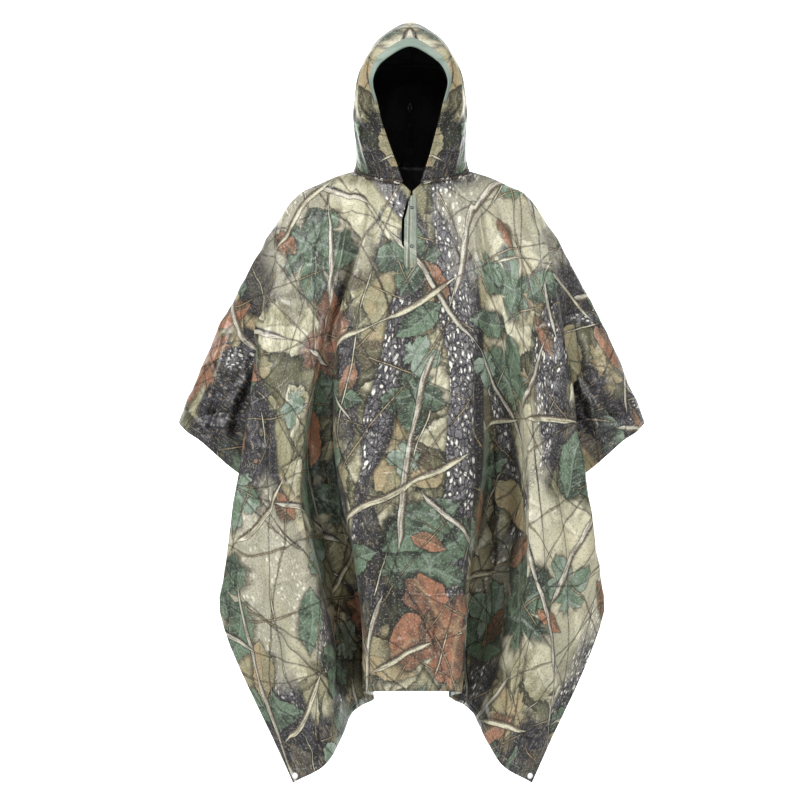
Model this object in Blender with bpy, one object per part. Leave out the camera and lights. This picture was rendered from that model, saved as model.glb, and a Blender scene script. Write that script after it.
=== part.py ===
"""Hooded rain poncho, worn form with no wearer: a rectangular sheet over shoulders and arms, and a hood.

Metres, +Z up, the front faces -Y. The origin is the middle of the neck, level with the front neck seam.
Left and right are the wearer's: the right side is at -X. All cloth is one wall thick, hollow and open
at the face, the neck slit, the sleeve ends, the sides and the hem.
"""

import math

import bmesh
import bpy
import numpy as np
from mathutils import Matrix, Vector

# ---------------------------------------------------------------- driving dimensions
WALL = 0.0015  # thickness of the cloth wall
GAP = 0.0003  # clearance where two pieces meet
HOOD_LIFT = 0.0012  # the hood's lower edge stands this far above the neck edge

SLIT_STOP = 0.0025  # each edge of the closed neck slit, in the stops along the cloth given below
SLIT_TOP_STOP = 0.033  # the same at the neck edge, where the slit opens into a V
SLIT_END_LEVEL = 0.175  # how far down the slit runs, in the levels of the tables below

STRIP_WALL = 0.0012  # placket strips
STRIP_CLEAR = 0.0007  # between each strip and the faces of the front
STRIP_TOP_LEVEL = 0.025
STRIP_END_LEVEL = 0.172
STRIP_OVER = (-0.017, 0.011)  # reach of the outer strip along the cloth, right to left
STRIP_UNDER = (-0.011, 0.017)
TACK_SIZE = (0.009, 0.012, 0.001)  # reinforced end of the slit
TACK_LEVEL = 0.165
STUD_RADIUS = 0.0045
STUD_HEIGHT = 0.0018
STUD_LEVELS = {"placket_stud_upper": 0.046, "placket_stud_lower": 0.128}

BAND_REACH = (0.04, 0.96)  # turned edge of the face opening, in shares of the hood's first column of faces
BAND_WALL = 0.001
BAND_CLEAR = 0.0006

EYELET_INSET = 0.0105  # eyelet centre from both edges of a corner
EYELET_OUTER = 0.0065
EYELET_FACE = 0.0058  # radius of the flat part of each flange
EYELET_BORE = 0.0035
EYELET_BARREL = 0.0042
EYELET_HOLE = 0.0047  # hole in the cloth
EYELET_FLANGE = 0.0007
EYELET_CLEAR = 0.0009  # between each flange and the cloth
EYELET_SIDES = 16

# ---------------------------------------------------------------- the sheet's fold lines
# Each fold line runs from the neck edge or the shoulder line (level 0) to the hem or the side edge
# (level 1). A row is one level: drop below the origin, distance out from the middle, forward of it.
LEVELS = (0.0, 0.1, 0.3, 0.55, 0.8, 1.0)
FOLD_NAMES = (
    "middle", "panel_edge", "valley", "valley_wall", "crest", "corner", "ridge",
    "sleeve_valley", "sleeve_front", "cuff",
)
FOLD_STOPS = (0.0, 0.10, 0.25, 0.34, 0.42, 0.52, 0.61, 0.75, 0.88, 1.0)  # along the cloth
#                 drop   out    forward
SHEET_FOLDS = {
    "middle": (
        (0.002, 0.000, 0.088),
        (0.095, 0.000, 0.128),
        (0.290, 0.000, 0.160),
        (0.545, 0.000, 0.172),
        (0.795, 0.000, 0.180),
        (0.999, 0.000, 0.184),
    ),
    "panel_edge": (
        (-0.003, 0.055, 0.075),
        (0.090, 0.078, 0.120),
        (0.290, 0.120, 0.163),
        (0.545, 0.126, 0.190),
        (0.795, 0.094, 0.202),
        (0.999, 0.088, 0.206),
    ),
    "valley": (
        (-0.018, 0.090, 0.045),
        (0.080, 0.112, 0.098),
        (0.290, 0.150, 0.132),
        (0.565, 0.158, 0.070),
        (0.820, 0.104, 0.034),
        (1.016, 0.076, 0.026),
    ),
    "valley_wall": (
        (-0.029, 0.104, 0.023),
        (0.075, 0.124, 0.094),
        (0.290, 0.170, 0.133),
        (0.575, 0.206, 0.104),
        (0.840, 0.156, 0.104),
        (1.046, 0.118, 0.106),
    ),
    "crest": (
        (-0.0365, 0.1125, 0.000),
        (0.070, 0.136, 0.088),
        (0.290, 0.182, 0.142),
        (0.590, 0.224, 0.166),
        (0.870, 0.180, 0.190),
        (1.133, 0.161, 0.186),
    ),
    "corner": (
        (-0.0150, 0.1780, 0.000),
        (0.080, 0.203, 0.078),
        (0.305, 0.242, 0.124),
        (0.620, 0.290, 0.148),
        (0.915, 0.286, 0.164),
        (1.182, 0.235, 0.160),
    ),
    "ridge": (
        (0.0260, 0.2430, 0.000),
        (0.110, 0.258, 0.066),
        (0.290, 0.301, 0.100),
        (0.510, 0.334, 0.122),
        (0.690, 0.362, 0.132),
        (0.845, 0.381, 0.126),
    ),
    "sleeve_valley": (
        (0.2285, 0.3626, 0.000),
        (0.268, 0.342, 0.040),
        (0.360, 0.296, 0.046),
        (0.490, 0.240, 0.034),
        (0.620, 0.205, 0.024),
        (0.730, 0.190, 0.022),
    ),
    "sleeve_front": (
        (0.3520, 0.4220, 0.000),
        (0.386, 0.404, 0.046),
        (0.434, 0.370, 0.064),
        (0.500, 0.328, 0.058),
        (0.560, 0.292, 0.044),
        (0.620, 0.262, 0.036),
    ),
    "cuff": (
        (0.4710, 0.4710, 0.000),
        (0.486, 0.456, 0.034),
        (0.506, 0.426, 0.054),
        (0.532, 0.392, 0.058),
        (0.556, 0.362, 0.050),
        (0.576, 0.336, 0.040),
    ),
}
# How much further out some folds lie on the wearer's left front, level by level. The back is
# folded as the front turned half round, so its right side has the left front's folds.
LEFT_SHIFT = {
    "panel_edge": (0.000, -0.004, -0.014, -0.020, 0.002, 0.004),
    "valley": (0.000, 0.004, 0.010, 0.006, 0.014, 0.006),
    "valley_wall": (0.000, 0.006, 0.016, 0.012, 0.028, 0.006),
    "crest": (0.000, 0.010, 0.018, 0.012, 0.040, 0.006),
    "corner": (0.000, 0.004, 0.008, 0.006, 0.012, 0.002),
}
# The back neck edge stands higher than the front one.
BACK_NECK = {  # drop, out, forward
    "middle": (-0.052, 0.000, 0.088),
    "panel_edge": (-0.049, 0.055, 0.074),
    "valley": (-0.043, 0.090, 0.044),
    "valley_wall": (-0.040, 0.104, 0.022),
}
NECK_FOLDS = 4  # this many folds start on the neck edge, and the rest on the shoulder and arm line
SHARP_FOLD = "corner"  # ends in the sheet's square corner, so the edges meet there at an angle
SHARP_FROM_LEVEL = 0.75
ROWS_PER_LEVEL = (4, 3, 3, 3, 3)
COLUMNS_PER_FOLD = (2, 3, 2, 2, 3, 2, 3, 3, 2)

# ---------------------------------------------------------------- the hood's hoops
# Hoops stand from the neck edge (level 0) to the seam along the middle of the head (level 1).
HOOD_LEVELS = (0.0, 0.28, 0.55, 0.74, 0.90, 1.0)
HOOP_STOPS = (0.0, 0.12, 0.28, 0.37, 0.46, 0.55, 0.64, 0.82, 1.0)  # face opening to back seam
HOOD_HOOPS = {  # out, forward, height
    "face": (
        (0.020, 0.088, 0.000),
        (0.045, 0.104, 0.085),
        (0.066, 0.112, 0.162),
        (0.0740, 0.113, 0.216),
        (0.050, 0.109, 0.261),
        (0.000, 0.105, 0.280),
    ),
    "brim": (
        (0.055, 0.075, 0.003),
        (0.080, 0.092, 0.085),
        (0.095, 0.094, 0.168),
        (0.095, 0.092, 0.232),
        (0.057, 0.086, 0.290),
        (0.000, 0.082, 0.315),
    ),
    "cheek": (
        (0.090, 0.045, 0.018),
        (0.108, 0.054, 0.092),
        (0.112, 0.052, 0.170),
        (0.102, 0.046, 0.244),
        (0.057, 0.038, 0.303),
        (0.000, 0.034, 0.335),
    ),
    "temple": (
        (0.104, 0.023, 0.029),
        (0.1115, 0.024, 0.096),
        (0.1135, 0.018, 0.171),
        (0.103, 0.012, 0.246),
        (0.058, 0.004, 0.307),
        (0.000, 0.000, 0.340),
    ),
    "side": (
        (0.1125, 0.000, 0.0365),
        (0.1120, -0.006, 0.100),
        (0.1135, -0.016, 0.170),
        (0.102, -0.024, 0.242),
        (0.057, -0.032, 0.301),
        (0.000, -0.036, 0.334),
    ),
    "behind_ear": (
        (0.104, -0.022, 0.040),
        (0.107, -0.036, 0.102),
        (0.109, -0.052, 0.166),
        (0.098, -0.062, 0.230),
        (0.053, -0.068, 0.286),
        (0.000, -0.072, 0.315),
    ),
    "nape_side": (
        (0.090, -0.044, 0.043),
        (0.096, -0.066, 0.102),
        (0.099, -0.088, 0.160),
        (0.088, -0.100, 0.216),
        (0.051, -0.104, 0.268),
        (0.000, -0.106, 0.288),
    ),
    "nape": (
        (0.055, -0.074, 0.049),
        (0.061, -0.102, 0.094),
        (0.064, -0.126, 0.140),
        (0.056, -0.137, 0.184),
        (0.033, -0.141, 0.226),
        (0.000, -0.142, 0.244),
    ),
    "back": (
        (0.000, -0.088, 0.052),
        (0.000, -0.116, 0.088),
        (0.000, -0.138, 0.124),
        (0.000, -0.148, 0.154),
        (0.000, -0.152, 0.180),
        (0.000, -0.152, 0.203),
    ),
}
HOOD_ROWS_PER_LEVEL = (2, 2, 2, 2, 2)
COLUMNS_PER_HOOP = (2, 3, 2, 2, 2, 2, 3, 2)

COLOURS = {  # base colour, roughness, metallic
    "printed_cloth": ((0.20, 0.19, 0.14), 0.62, 0.0),
    "plain_band": ((0.26, 0.29, 0.23), 0.6, 0.0),
    "stud_metal": ((0.16, 0.15, 0.14), 0.4, 0.9),
    "eyelet_metal": ((0.72, 0.72, 0.70), 0.3, 1.0),
}
RIGHT, LEFT = -1, 1
FRONT, BACK = -1, 1
OUT, FORWARD = 0, 1  # the axes of a net's points that turn round where a curve crosses a middle line


# ---------------------------------------------------------------- smooth nets
def steps_between(stops, counts):
    """The stops, with counts[k] equal parts between stop k and the next."""
    parts = [np.linspace(a, b, count, endpoint=False) for a, b, count in zip(stops, stops[1:], counts)]
    return np.append(np.concatenate(parts), stops[-1])


def through(stops, points, where, sharp_at=None, sharpness=0.0):
    """Points at the places `where` on the smooth curve through `points`, along their first axis.

    At the index sharp_at the curve has a corner: wholly where sharpness is 1, and none where it is 0."""
    stops = np.asarray(stops, float)
    where = np.atleast_1d(np.asarray(where, float))
    slopes = np.gradient(points, stops, axis=0)
    leaving, arriving = slopes, slopes.copy()
    if sharp_at is not None:
        k = sharp_at
        before = (points[k] - points[k - 1]) / (stops[k] - stops[k - 1])
        after = (points[k + 1] - points[k]) / (stops[k + 1] - stops[k])
        arriving[k] += (before - slopes[k]) * sharpness
        leaving[k] += (after - slopes[k]) * sharpness
    k = np.clip(np.searchsorted(stops, where, side="right") - 1, 0, len(stops) - 2)
    width = stops[k + 1] - stops[k]
    shape = (-1,) + (1,) * (points.ndim - 1)
    f = ((where - stops[k]) / width).reshape(shape)
    width = width.reshape(shape)
    start = points[k] * (1 + 2 * f) * (1 - f) ** 2 + leaving[k] * width * f * (1 - f) ** 2
    end = points[k + 1] * f * f * (3 - 2 * f) + arriving[k + 1] * width * f * f * (f - 1)
    return start + end


def mirror_start(stops, points, axis):
    """The curve with one more point before its first, mirrored, so that it crosses there squarely."""
    before = points[1] * 1.0
    before[..., axis] *= -1
    return np.append(2 * stops[0] - stops[1], stops), np.concatenate([before[None], points])


def mirror_end(stops, points, axis):
    """The same after its last point."""
    after = points[-2] * 1.0
    after[..., axis] *= -1
    return np.append(stops, 2 * stops[-1] - stops[-2]), np.concatenate([points, after[None]])


def sheet_net(side, face):
    """The fold table of one quarter of the sheet as an array: level, fold, (out, forward, height)."""
    shifted = LEFT_SHIFT if side * face < 0 else {}
    columns = []
    for name in FOLD_NAMES:
        rows = [list(row) for row in SHEET_FOLDS[name]]
        if face == BACK and name in BACK_NECK:
            rows[0] = list(BACK_NECK[name])
        for row, shift in zip(rows, shifted.get(name, (0.0,) * len(LEVELS))):
            row[1] += shift
        columns.append([(out, forward, -drop) for drop, out, forward in rows])
    return np.array(columns).transpose(1, 0, 2)


def sheet_points(side, face, levels, stops):
    """Points of one quarter of the sheet at the given levels and stops, in world coordinates."""
    net = sheet_net(side, face)
    level_stops, strands = mirror_start(LEVELS, net, FORWARD)
    strands[0, :NECK_FOLDS] = 2 * net[0, :NECK_FOLDS] - net[1, :NECK_FOLDS]
    rows = through(level_stops, strands, levels)
    fold_stops, across = mirror_start(FOLD_STOPS, rows.transpose(1, 0, 2), OUT)
    sharpness = np.clip((np.asarray(levels, float) - SHARP_FROM_LEVEL) / (1 - SHARP_FROM_LEVEL), 0, 1)
    corner = 1 + FOLD_NAMES.index(SHARP_FOLD)
    grid = through(fold_stops, across, stops, corner, sharpness[:, None]).transpose(1, 0, 2)
    return grid * (side, face, 1.0)


def hood_points(side, levels, stops):
    """Points of one half of the hood at the given levels and stops, in world coordinates."""
    net = np.array([HOOD_HOOPS[name] for name in HOOD_HOOPS]).transpose(1, 0, 2)
    rows = through(*mirror_end(HOOD_LEVELS, net, OUT), levels)
    grid = through(*mirror_end(HOOP_STOPS, rows.transpose(1, 0, 2), OUT), stops).transpose(1, 0, 2)
    grid[..., OUT] = np.maximum(grid[..., OUT], 0.0)
    return grid * (side, FRONT, 1.0) + (0.0, 0.0, HOOD_LIFT)


# ---------------------------------------------------------------- solids
def material(name):
    """The named finish, made once."""
    found = bpy.data.materials.get(name)
    if found:
        return found
    colour, roughness, metallic = COLOURS[name]
    made = bpy.data.materials.new(name)
    made.use_nodes = True
    shader = made.node_tree.nodes["Principled BSDF"]
    shader.inputs["Base Color"].default_value = (*colour, 1.0)
    shader.inputs["Roughness"].default_value = roughness
    shader.inputs["Metallic"].default_value = metallic
    made.diffuse_color = (*colour, 1.0)
    return made


def add_object(name, bm, finish):
    """A scene object from a bmesh, shaded smooth where its faces meet at a shallow angle."""
    mesh = bpy.data.meshes.new(name)
    bm.to_mesh(mesh)
    bm.free()
    mesh.shade_smooth()
    mesh.set_sharp_from_angle(angle=math.radians(50))
    mesh.materials.append(material(finish))
    made = bpy.data.objects.new(name, mesh)
    bpy.context.collection.objects.link(made)
    return made


def add_grid(bm, points):
    """A grid of faces whose corners are the given rows of points."""
    rows, columns = points.shape[:2]
    made = bmesh.ops.create_grid(bm, x_segments=columns - 1, y_segments=rows - 1, size=0.5)["verts"]
    for vert in made:
        column = round((vert.co.x + 0.5) * (columns - 1))
        row = round((vert.co.y + 0.5) * (rows - 1))
        vert.co = points[row, column]


def face_away(bm, inside):
    """Turn the open sheet's faces so that most of them look away from the point `inside`."""
    bmesh.ops.recalc_face_normals(bm, faces=bm.faces)
    away = sum(face.normal.dot(face.calc_center_median() - inside) * face.calc_area() for face in bm.faces)
    if away < 0:
        bmesh.ops.reverse_faces(bm, faces=bm.faces)


def thicken(bm, wall):
    """Give an open sheet its wall, on the side away from its normals."""
    bm.normal_update()
    bmesh.ops.solidify(bm, geom=bm.faces[:], thickness=wall)
    bmesh.ops.recalc_face_normals(bm, faces=bm.faces)


def build_sheet(name, face):
    """The front or the back of the sheet, both sides in one cloth."""
    levels = steps_between(LEVELS, ROWS_PER_LEVEL)
    stops = steps_between(FOLD_STOPS, COLUMNS_PER_FOLD)
    bm = bmesh.new()
    for side in (RIGHT, LEFT):
        points = sheet_points(side, face, levels, stops)
        if face == FRONT:
            in_slit = levels <= SLIT_END_LEVEL
            points[in_slit, 0] = sheet_points(side, face, levels[in_slit], [SLIT_STOP])[:, 0]
            points[0, 0] = sheet_points(side, face, levels[:1], [SLIT_TOP_STOP])[0, 0]
        add_grid(bm, points)
    bmesh.ops.remove_doubles(bm, verts=bm.verts, dist=0.0001)
    face_away(bm, Vector((0.0, 0.0, -0.5)))
    thicken(bm, WALL)
    for vert in bm.verts:
        if abs(vert.co.y) < 2 * WALL:
            vert.co.y = face * GAP / 2
    return add_object(name, bm, "printed_cloth")


def build_hood_half(name, side):
    """One half of the hood, up to the seam along the middle of the head."""
    levels = steps_between(HOOD_LEVELS, HOOD_ROWS_PER_LEVEL)
    stops = steps_between(HOOP_STOPS, COLUMNS_PER_HOOP)
    bm = bmesh.new()
    add_grid(bm, hood_points(side, levels, stops))
    face_away(bm, Vector((0.0, 0.0, 0.15)))
    thicken(bm, WALL)
    for vert in bm.verts:
        if abs(vert.co.x) < 2 * WALL:
            vert.co.x = side * GAP / 2
    return add_object(name, bm, "printed_cloth")


def normals_of(points):
    """The unit normal at each point of a grid."""
    along = np.gradient(points, axis=0)
    across = np.gradient(points, axis=1)
    normal = np.cross(along, across)
    return normal / np.linalg.norm(normal, axis=2, keepdims=True)


def build_hood_band():
    """The turned edge that lies on the hood all round the face opening."""
    levels = steps_between(HOOD_LEVELS, HOOD_ROWS_PER_LEVEL)
    stops = steps_between(HOOP_STOPS, COLUMNS_PER_HOOP)[:2]
    halves = []
    for side in (RIGHT, LEFT):
        edge, inner = hood_points(side, levels, stops).transpose(1, 0, 2)
        points = np.stack([edge + (inner - edge) * share for share in BAND_REACH], axis=1)
        normal = normals_of(points) * -side
        halves.append(points + normal * (BAND_CLEAR + BAND_WALL))
    right, left = halves
    left[-1, :, 0] = 0.0
    right[-1] = left[-1]
    loop = np.concatenate([right, left[::-1][1:]])
    bm = bmesh.new()
    add_grid(bm, loop)
    face_away(bm, Vector((0.0, 0.0, 0.15)))
    thicken(bm, BAND_WALL)
    return add_object("hood_band", bm, "plain_band")


def on_panel(side, levels, stop):
    """Points of the front at one stop, on the flat faces between its rows and its first two columns."""
    rows = steps_between(LEVELS, ROWS_PER_LEVEL)
    first_stop = FOLD_STOPS[1] / COLUMNS_PER_FOLD[0]
    edge = sheet_points(side, FRONT, rows, [SLIT_STOP, first_stop])
    share = (stop - SLIT_STOP) / (first_stop - SLIT_STOP)
    line = edge[:, 0] + (edge[:, 1] - edge[:, 0]) * share
    return np.stack([np.interp(levels, rows, line[:, axis]) for axis in range(3)], axis=1)


def front_strip(reach, levels, lift):
    """Rows of points along the middle of the front, from stop reach[0] (right) to reach[1] (left)."""
    places = ((RIGHT, -reach[0]), (RIGHT, SLIT_STOP), (LEFT, SLIT_STOP), (LEFT, reach[1]))
    lines = [on_panel(side, levels, stop) for side, stop in places]
    points = np.stack(lines, axis=1)
    normal = normals_of(points)
    normal *= np.sign(-normal[..., 1:2])
    return points + normal * lift


def build_strip(name, reach, lift):
    """A placket strip, made from the front's own points moved out or in."""
    rows = steps_between(LEVELS, ROWS_PER_LEVEL)
    between = [level for level in rows if STRIP_TOP_LEVEL < level < STRIP_END_LEVEL]
    levels = [STRIP_TOP_LEVEL, *between, STRIP_END_LEVEL]
    bm = bmesh.new()
    add_grid(bm, front_strip(reach, levels, lift))
    face_away(bm, Vector((0.0, 0.0, -0.1)))
    thicken(bm, STRIP_WALL)
    return add_object(name, bm, "printed_cloth")


def strip_frame(level, lift):
    """A matrix at the outer strip's middle line: Z out of the cloth, Y up along it."""
    levels = [level - 0.005, level, level + 0.005]
    points = front_strip(STRIP_OVER, levels, lift)[:, 1:3].mean(axis=1)
    up = Vector(points[0] - points[2]).normalized()
    out = Vector((1.0, 0.0, 0.0)).cross(up).normalized()
    out = out if out.y < 0 else -out
    side = up.cross(out)
    place = Matrix((side, up, out)).transposed().to_4x4()
    place.translation = Vector(points[1])
    return place


def build_tack():
    """The reinforced lower end of the slit, a small stitched bar on the outer strip."""
    bm = bmesh.new()
    bmesh.ops.create_cube(bm, size=1.0, matrix=Matrix.Diagonal((*TACK_SIZE, 1.0)))
    upright = [edge for edge in bm.edges if abs(edge.calc_length() - TACK_SIZE[2]) < 1e-6]
    bmesh.ops.bevel(bm, geom=upright, offset=0.0015, segments=2, profile=0.5, affect="EDGES", material=-1)
    lift = STRIP_CLEAR + STRIP_WALL + GAP + TACK_SIZE[2] / 2
    bm.transform(strip_frame(TACK_LEVEL, lift))
    return add_object("placket_tack", bm, "printed_cloth")


def build_stud(name, level):
    """The cap of a press stud: a flat rim with a domed middle, turned round its axis."""
    profile = (
        (0.0, 0.0),
        (STUD_RADIUS, 0.0),
        (STUD_RADIUS, STUD_HEIGHT * 0.35),
        (STUD_RADIUS * 0.8, STUD_HEIGHT * 0.75),
        (0.0, STUD_HEIGHT),
    )
    bm = turned(profile, 12)
    bm.transform(strip_frame(level, STRIP_CLEAR + STRIP_WALL + GAP))
    return add_object(name, bm, "stud_metal")


def turned(profile, sides):
    """A closed solid from a profile of (radius, height) turned round Z."""
    bm = bmesh.new()
    verts = [bm.verts.new((radius, 0.0, height)) for radius, height in profile]
    edges = [bm.edges.new(pair) for pair in zip(verts, verts[1:])]
    if profile[0][0] > 0:
        edges.append(bm.edges.new((verts[-1], verts[0])))
    bmesh.ops.spin(
        bm, geom=verts + edges, cent=(0, 0, 0), axis=(0, 0, 1), angle=math.tau, steps=sides, use_merge=True,
    )
    bmesh.ops.remove_doubles(bm, verts=bm.verts, dist=0.00001)
    bmesh.ops.recalc_face_normals(bm, faces=bm.faces)
    return bm


def corner_frame(side, face):
    """A matrix at a corner's eyelet: Z out of the cloth, on the mid plane of the wall."""
    tip_stop = FOLD_STOPS[FOLD_NAMES.index("corner")]
    tip, above = sheet_points(side, face, [1.0, 0.99], [tip_stop])[:, 0]
    along_edge = sheet_points(side, face, [1.0], [tip_stop - 0.02, tip_stop + 0.02])[0]
    across = Vector(along_edge[1] - along_edge[0])
    up = Vector(above - tip)
    out = across.cross(up).normalized()
    out = out if out.y * face > 0 else -out
    edge_ways = [(Vector(point) - Vector(tip)).normalized() for point in along_edge]
    place = out.to_track_quat("Z", "Y").to_matrix().to_4x4()
    place.translation = Vector(tip) + (edge_ways[0] + edge_ways[1]) * EYELET_INSET - out * WALL / 2
    return place


def build_eyelet(name, place, cloth):
    """A metal eyelet through a corner, flanged on both faces, and its hole in the cloth."""
    half = WALL / 2 + EYELET_CLEAR
    profile = (
        (EYELET_BORE, -half - EYELET_FLANGE),
        (EYELET_FACE, -half - EYELET_FLANGE),
        (EYELET_OUTER, -half - EYELET_FLANGE * 0.6),
        (EYELET_OUTER, -half),
        (EYELET_BARREL, -half),
        (EYELET_BARREL, half),
        (EYELET_OUTER, half),
        (EYELET_OUTER, half + EYELET_FLANGE * 0.6),
        (EYELET_FACE, half + EYELET_FLANGE),
        (EYELET_BORE, half + EYELET_FLANGE),
    )
    bm = turned(profile, EYELET_SIDES)
    bm.transform(place)
    add_object(name, bm, "eyelet_metal")

    cutter_mesh = bmesh.new()
    bmesh.ops.create_cone(
        cutter_mesh, cap_ends=True, segments=EYELET_SIDES, radius1=EYELET_HOLE, radius2=EYELET_HOLE, depth=0.01,
    )
    cutter_mesh.transform(place)
    cutter = add_object(name + "_cutter", cutter_mesh, "eyelet_metal")
    cutter.hide_render = True
    cutter.display_type = "WIRE"
    cut = cloth.modifiers.new("eyelet_hole", "BOOLEAN")
    cut.operation = "DIFFERENCE"
    cut.solver = "EXACT"
    cut.object = cutter


def main():
    for leftover in list(bpy.data.objects):
        bpy.data.objects.remove(leftover, do_unlink=True)
    sheets = {FRONT: build_sheet("front", FRONT), BACK: build_sheet("back", BACK)}
    build_hood_half("hood_right", RIGHT)
    build_hood_half("hood_left", LEFT)
    build_hood_band()
    build_strip("placket_over", STRIP_OVER, STRIP_CLEAR + STRIP_WALL)
    build_strip("placket_under", STRIP_UNDER, -(WALL + STRIP_CLEAR))
    build_tack()
    for name, level in STUD_LEVELS.items():
        build_stud(name, level)
    for face, face_name in ((FRONT, "front"), (BACK, "back")):
        for side, side_name in ((RIGHT, "right"), (LEFT, "left")):
            build_eyelet(f"eyelet_{face_name}_{side_name}", corner_frame(side, face), sheets[face])


main()
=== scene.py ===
# %% [markdown]
# # A hooded rain poncho
# A rain poncho is one rectangular sheet of thin coated cloth with a slit for the neck and a hood sewn on.
# Worn, it hangs from the shoulders and the arms, and all its shape comes from where the spare cloth
# folds. This lesson builds the sheet from its fold lines, presses creases into it, and prints it.

# %% Load the fixed frame
import math

import bmesh
import bpy
import numpy as np
from mathutils import Matrix, Vector, noise
from mathutils.bvhtree import BVHTree
from mathutils.geometry import barycentric_transform


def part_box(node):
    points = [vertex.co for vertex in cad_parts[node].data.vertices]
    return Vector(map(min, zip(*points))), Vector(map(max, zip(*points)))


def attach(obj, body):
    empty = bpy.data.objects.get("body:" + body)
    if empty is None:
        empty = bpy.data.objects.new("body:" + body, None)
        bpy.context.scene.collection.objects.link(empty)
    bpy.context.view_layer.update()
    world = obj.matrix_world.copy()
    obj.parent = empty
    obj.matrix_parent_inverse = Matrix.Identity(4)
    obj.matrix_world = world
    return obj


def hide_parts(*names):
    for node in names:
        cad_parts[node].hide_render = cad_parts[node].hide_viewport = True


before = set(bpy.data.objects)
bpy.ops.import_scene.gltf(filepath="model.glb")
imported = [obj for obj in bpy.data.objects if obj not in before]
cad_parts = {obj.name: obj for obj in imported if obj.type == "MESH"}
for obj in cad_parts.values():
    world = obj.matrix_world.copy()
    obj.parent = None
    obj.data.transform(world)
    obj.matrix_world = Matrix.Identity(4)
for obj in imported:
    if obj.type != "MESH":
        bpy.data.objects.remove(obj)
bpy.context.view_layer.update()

# %% [markdown]
# ## Camera
# A long lens far away keeps the poncho's sides nearly parallel. The camera looks level along +Y, a little
# below the chest, and the width that it takes in is set at the plane of the chest.

# %% Camera
CHEST_PLANE = -0.16
CAMERA_DISTANCE = 7.5
VIEW_WIDTH = 1.580
VIEW_CENTRE = (-0.0236, -0.4257)
SENSOR_WIDTH = 36.0

camera_data = bpy.data.cameras.new("camera")
camera_data.sensor_width = SENSOR_WIDTH
camera_data.lens = SENSOR_WIDTH * CAMERA_DISTANCE / VIEW_WIDTH
camera_data.clip_end = 60.0
camera = bpy.data.objects.new("camera", camera_data)
camera.location = (VIEW_CENTRE[0], CHEST_PLANE - CAMERA_DISTANCE, VIEW_CENTRE[1])
camera.rotation_euler = (math.radians(90), 0.0, 0.0)
bpy.context.collection.objects.link(camera)
bpy.context.scene.camera = camera
print("lens:", round(camera_data.lens, 1), "mm")

# %% [markdown]
# ## Stage and light
# A pale floor turns up into a wall behind, so that no horizon shows. A broad lamp hangs high on each
# side, in front, so that the light rakes down across the folds. A weak one in front fills them, and three
# more light only the wall. The paper has a front only, so a camera behind the wall sees through it.

# %% Stage
FLOOR_HEIGHT = -1.45
COVE_FRONT, COVE_BACK, COVE_WIDTH, COVE_TOP = -9.5, 3.4, 8.0, 3.0
COVE_RADIUS = 1.6


def simple_material(name, colour, roughness=0.8, metallic=0.0):
    made = bpy.data.materials.new(name)
    made.use_nodes = True
    shader = made.node_tree.nodes["Principled BSDF"]
    shader.inputs["Base Color"].default_value = (*colour, 1.0)
    shader.inputs["Roughness"].default_value = roughness
    shader.inputs["Metallic"].default_value = metallic
    return made


def mesh_object(name, bm, *materials):
    mesh = bpy.data.meshes.new(name)
    bm.to_mesh(mesh)
    bm.free()
    for finish in materials:
        mesh.materials.append(finish)
    made = bpy.data.objects.new(name, mesh)
    bpy.context.collection.objects.link(made)
    return made


def declare(piece, slot, *nodes):
    """Tell the frame what a piece rides on and which CAD nodes it replaces; the slot, what it is made of,
    is not used.
    """
    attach(piece, "root")
    if nodes:
        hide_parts(*nodes)


def face_outward(bm, outward):
    """Make all faces agree, and turn them round together if they point inward by the given measure."""
    bmesh.ops.recalc_face_normals(bm, faces=bm.faces)
    if sum(outward(face) for face in bm.faces) < 0:
        bmesh.ops.reverse_faces(bm, faces=bm.faces)


def cove_paper():
    """Plain pale paper, which a camera behind it sees through."""
    made = simple_material("cove_paper", (0.86, 0.86, 0.86), 0.9)
    tree = made.node_tree
    behind = tree.nodes.new("ShaderNodeNewGeometry")
    turned = tree.nodes.new("ShaderNodeMath")
    turned.operation = "SUBTRACT"
    turned.inputs[0].default_value = 1.0
    tree.links.new(behind.outputs["Backfacing"], turned.inputs[1])
    tree.links.new(turned.outputs[0], tree.nodes["Principled BSDF"].inputs["Alpha"])
    return made


def build_cove():
    """A strip of floor whose back edge is turned up by a quarter circle and drawn up into a wall."""
    bm = bmesh.new()
    left = bm.verts.new((-COVE_WIDTH / 2, COVE_FRONT, FLOOR_HEIGHT))
    right = bm.verts.new((COVE_WIDTH / 2, COVE_FRONT, FLOOR_HEIGHT))
    edges = [bm.edges.new((left, right))]

    def move_on(step):
        grown = bmesh.ops.extrude_edge_only(bm, edges=edges)["geom"]
        verts = [item for item in grown if isinstance(item, bmesh.types.BMVert)]
        bmesh.ops.translate(bm, verts=verts, vec=step)
        edges[:] = [item for item in grown if isinstance(item, bmesh.types.BMEdge) and item.is_boundary
                    and all(vert in verts for vert in item.verts)]

    move_on((0, COVE_BACK - COVE_RADIUS - COVE_FRONT, 0))
    turn = bmesh.ops.spin(bm, geom=edges[:], cent=(0, COVE_BACK - COVE_RADIUS, FLOOR_HEIGHT + COVE_RADIUS),
                          axis=(1, 0, 0), angle=math.pi / 2, steps=16, use_merge=False)
    edges[:] = [item for item in turn["geom_last"] if isinstance(item, bmesh.types.BMEdge)]
    move_on((0, 0, COVE_TOP))
    bmesh.ops.remove_doubles(bm, verts=bm.verts, dist=0.0001)
    if bm.faces[:][0].normal.z < 0:
        bmesh.ops.reverse_faces(bm, faces=bm.faces)
    return mesh_object("cove", bm, cove_paper())


cove = build_cove()
cove.data.shade_smooth()
print("cove faces:", len(cove.data.polygons))

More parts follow.
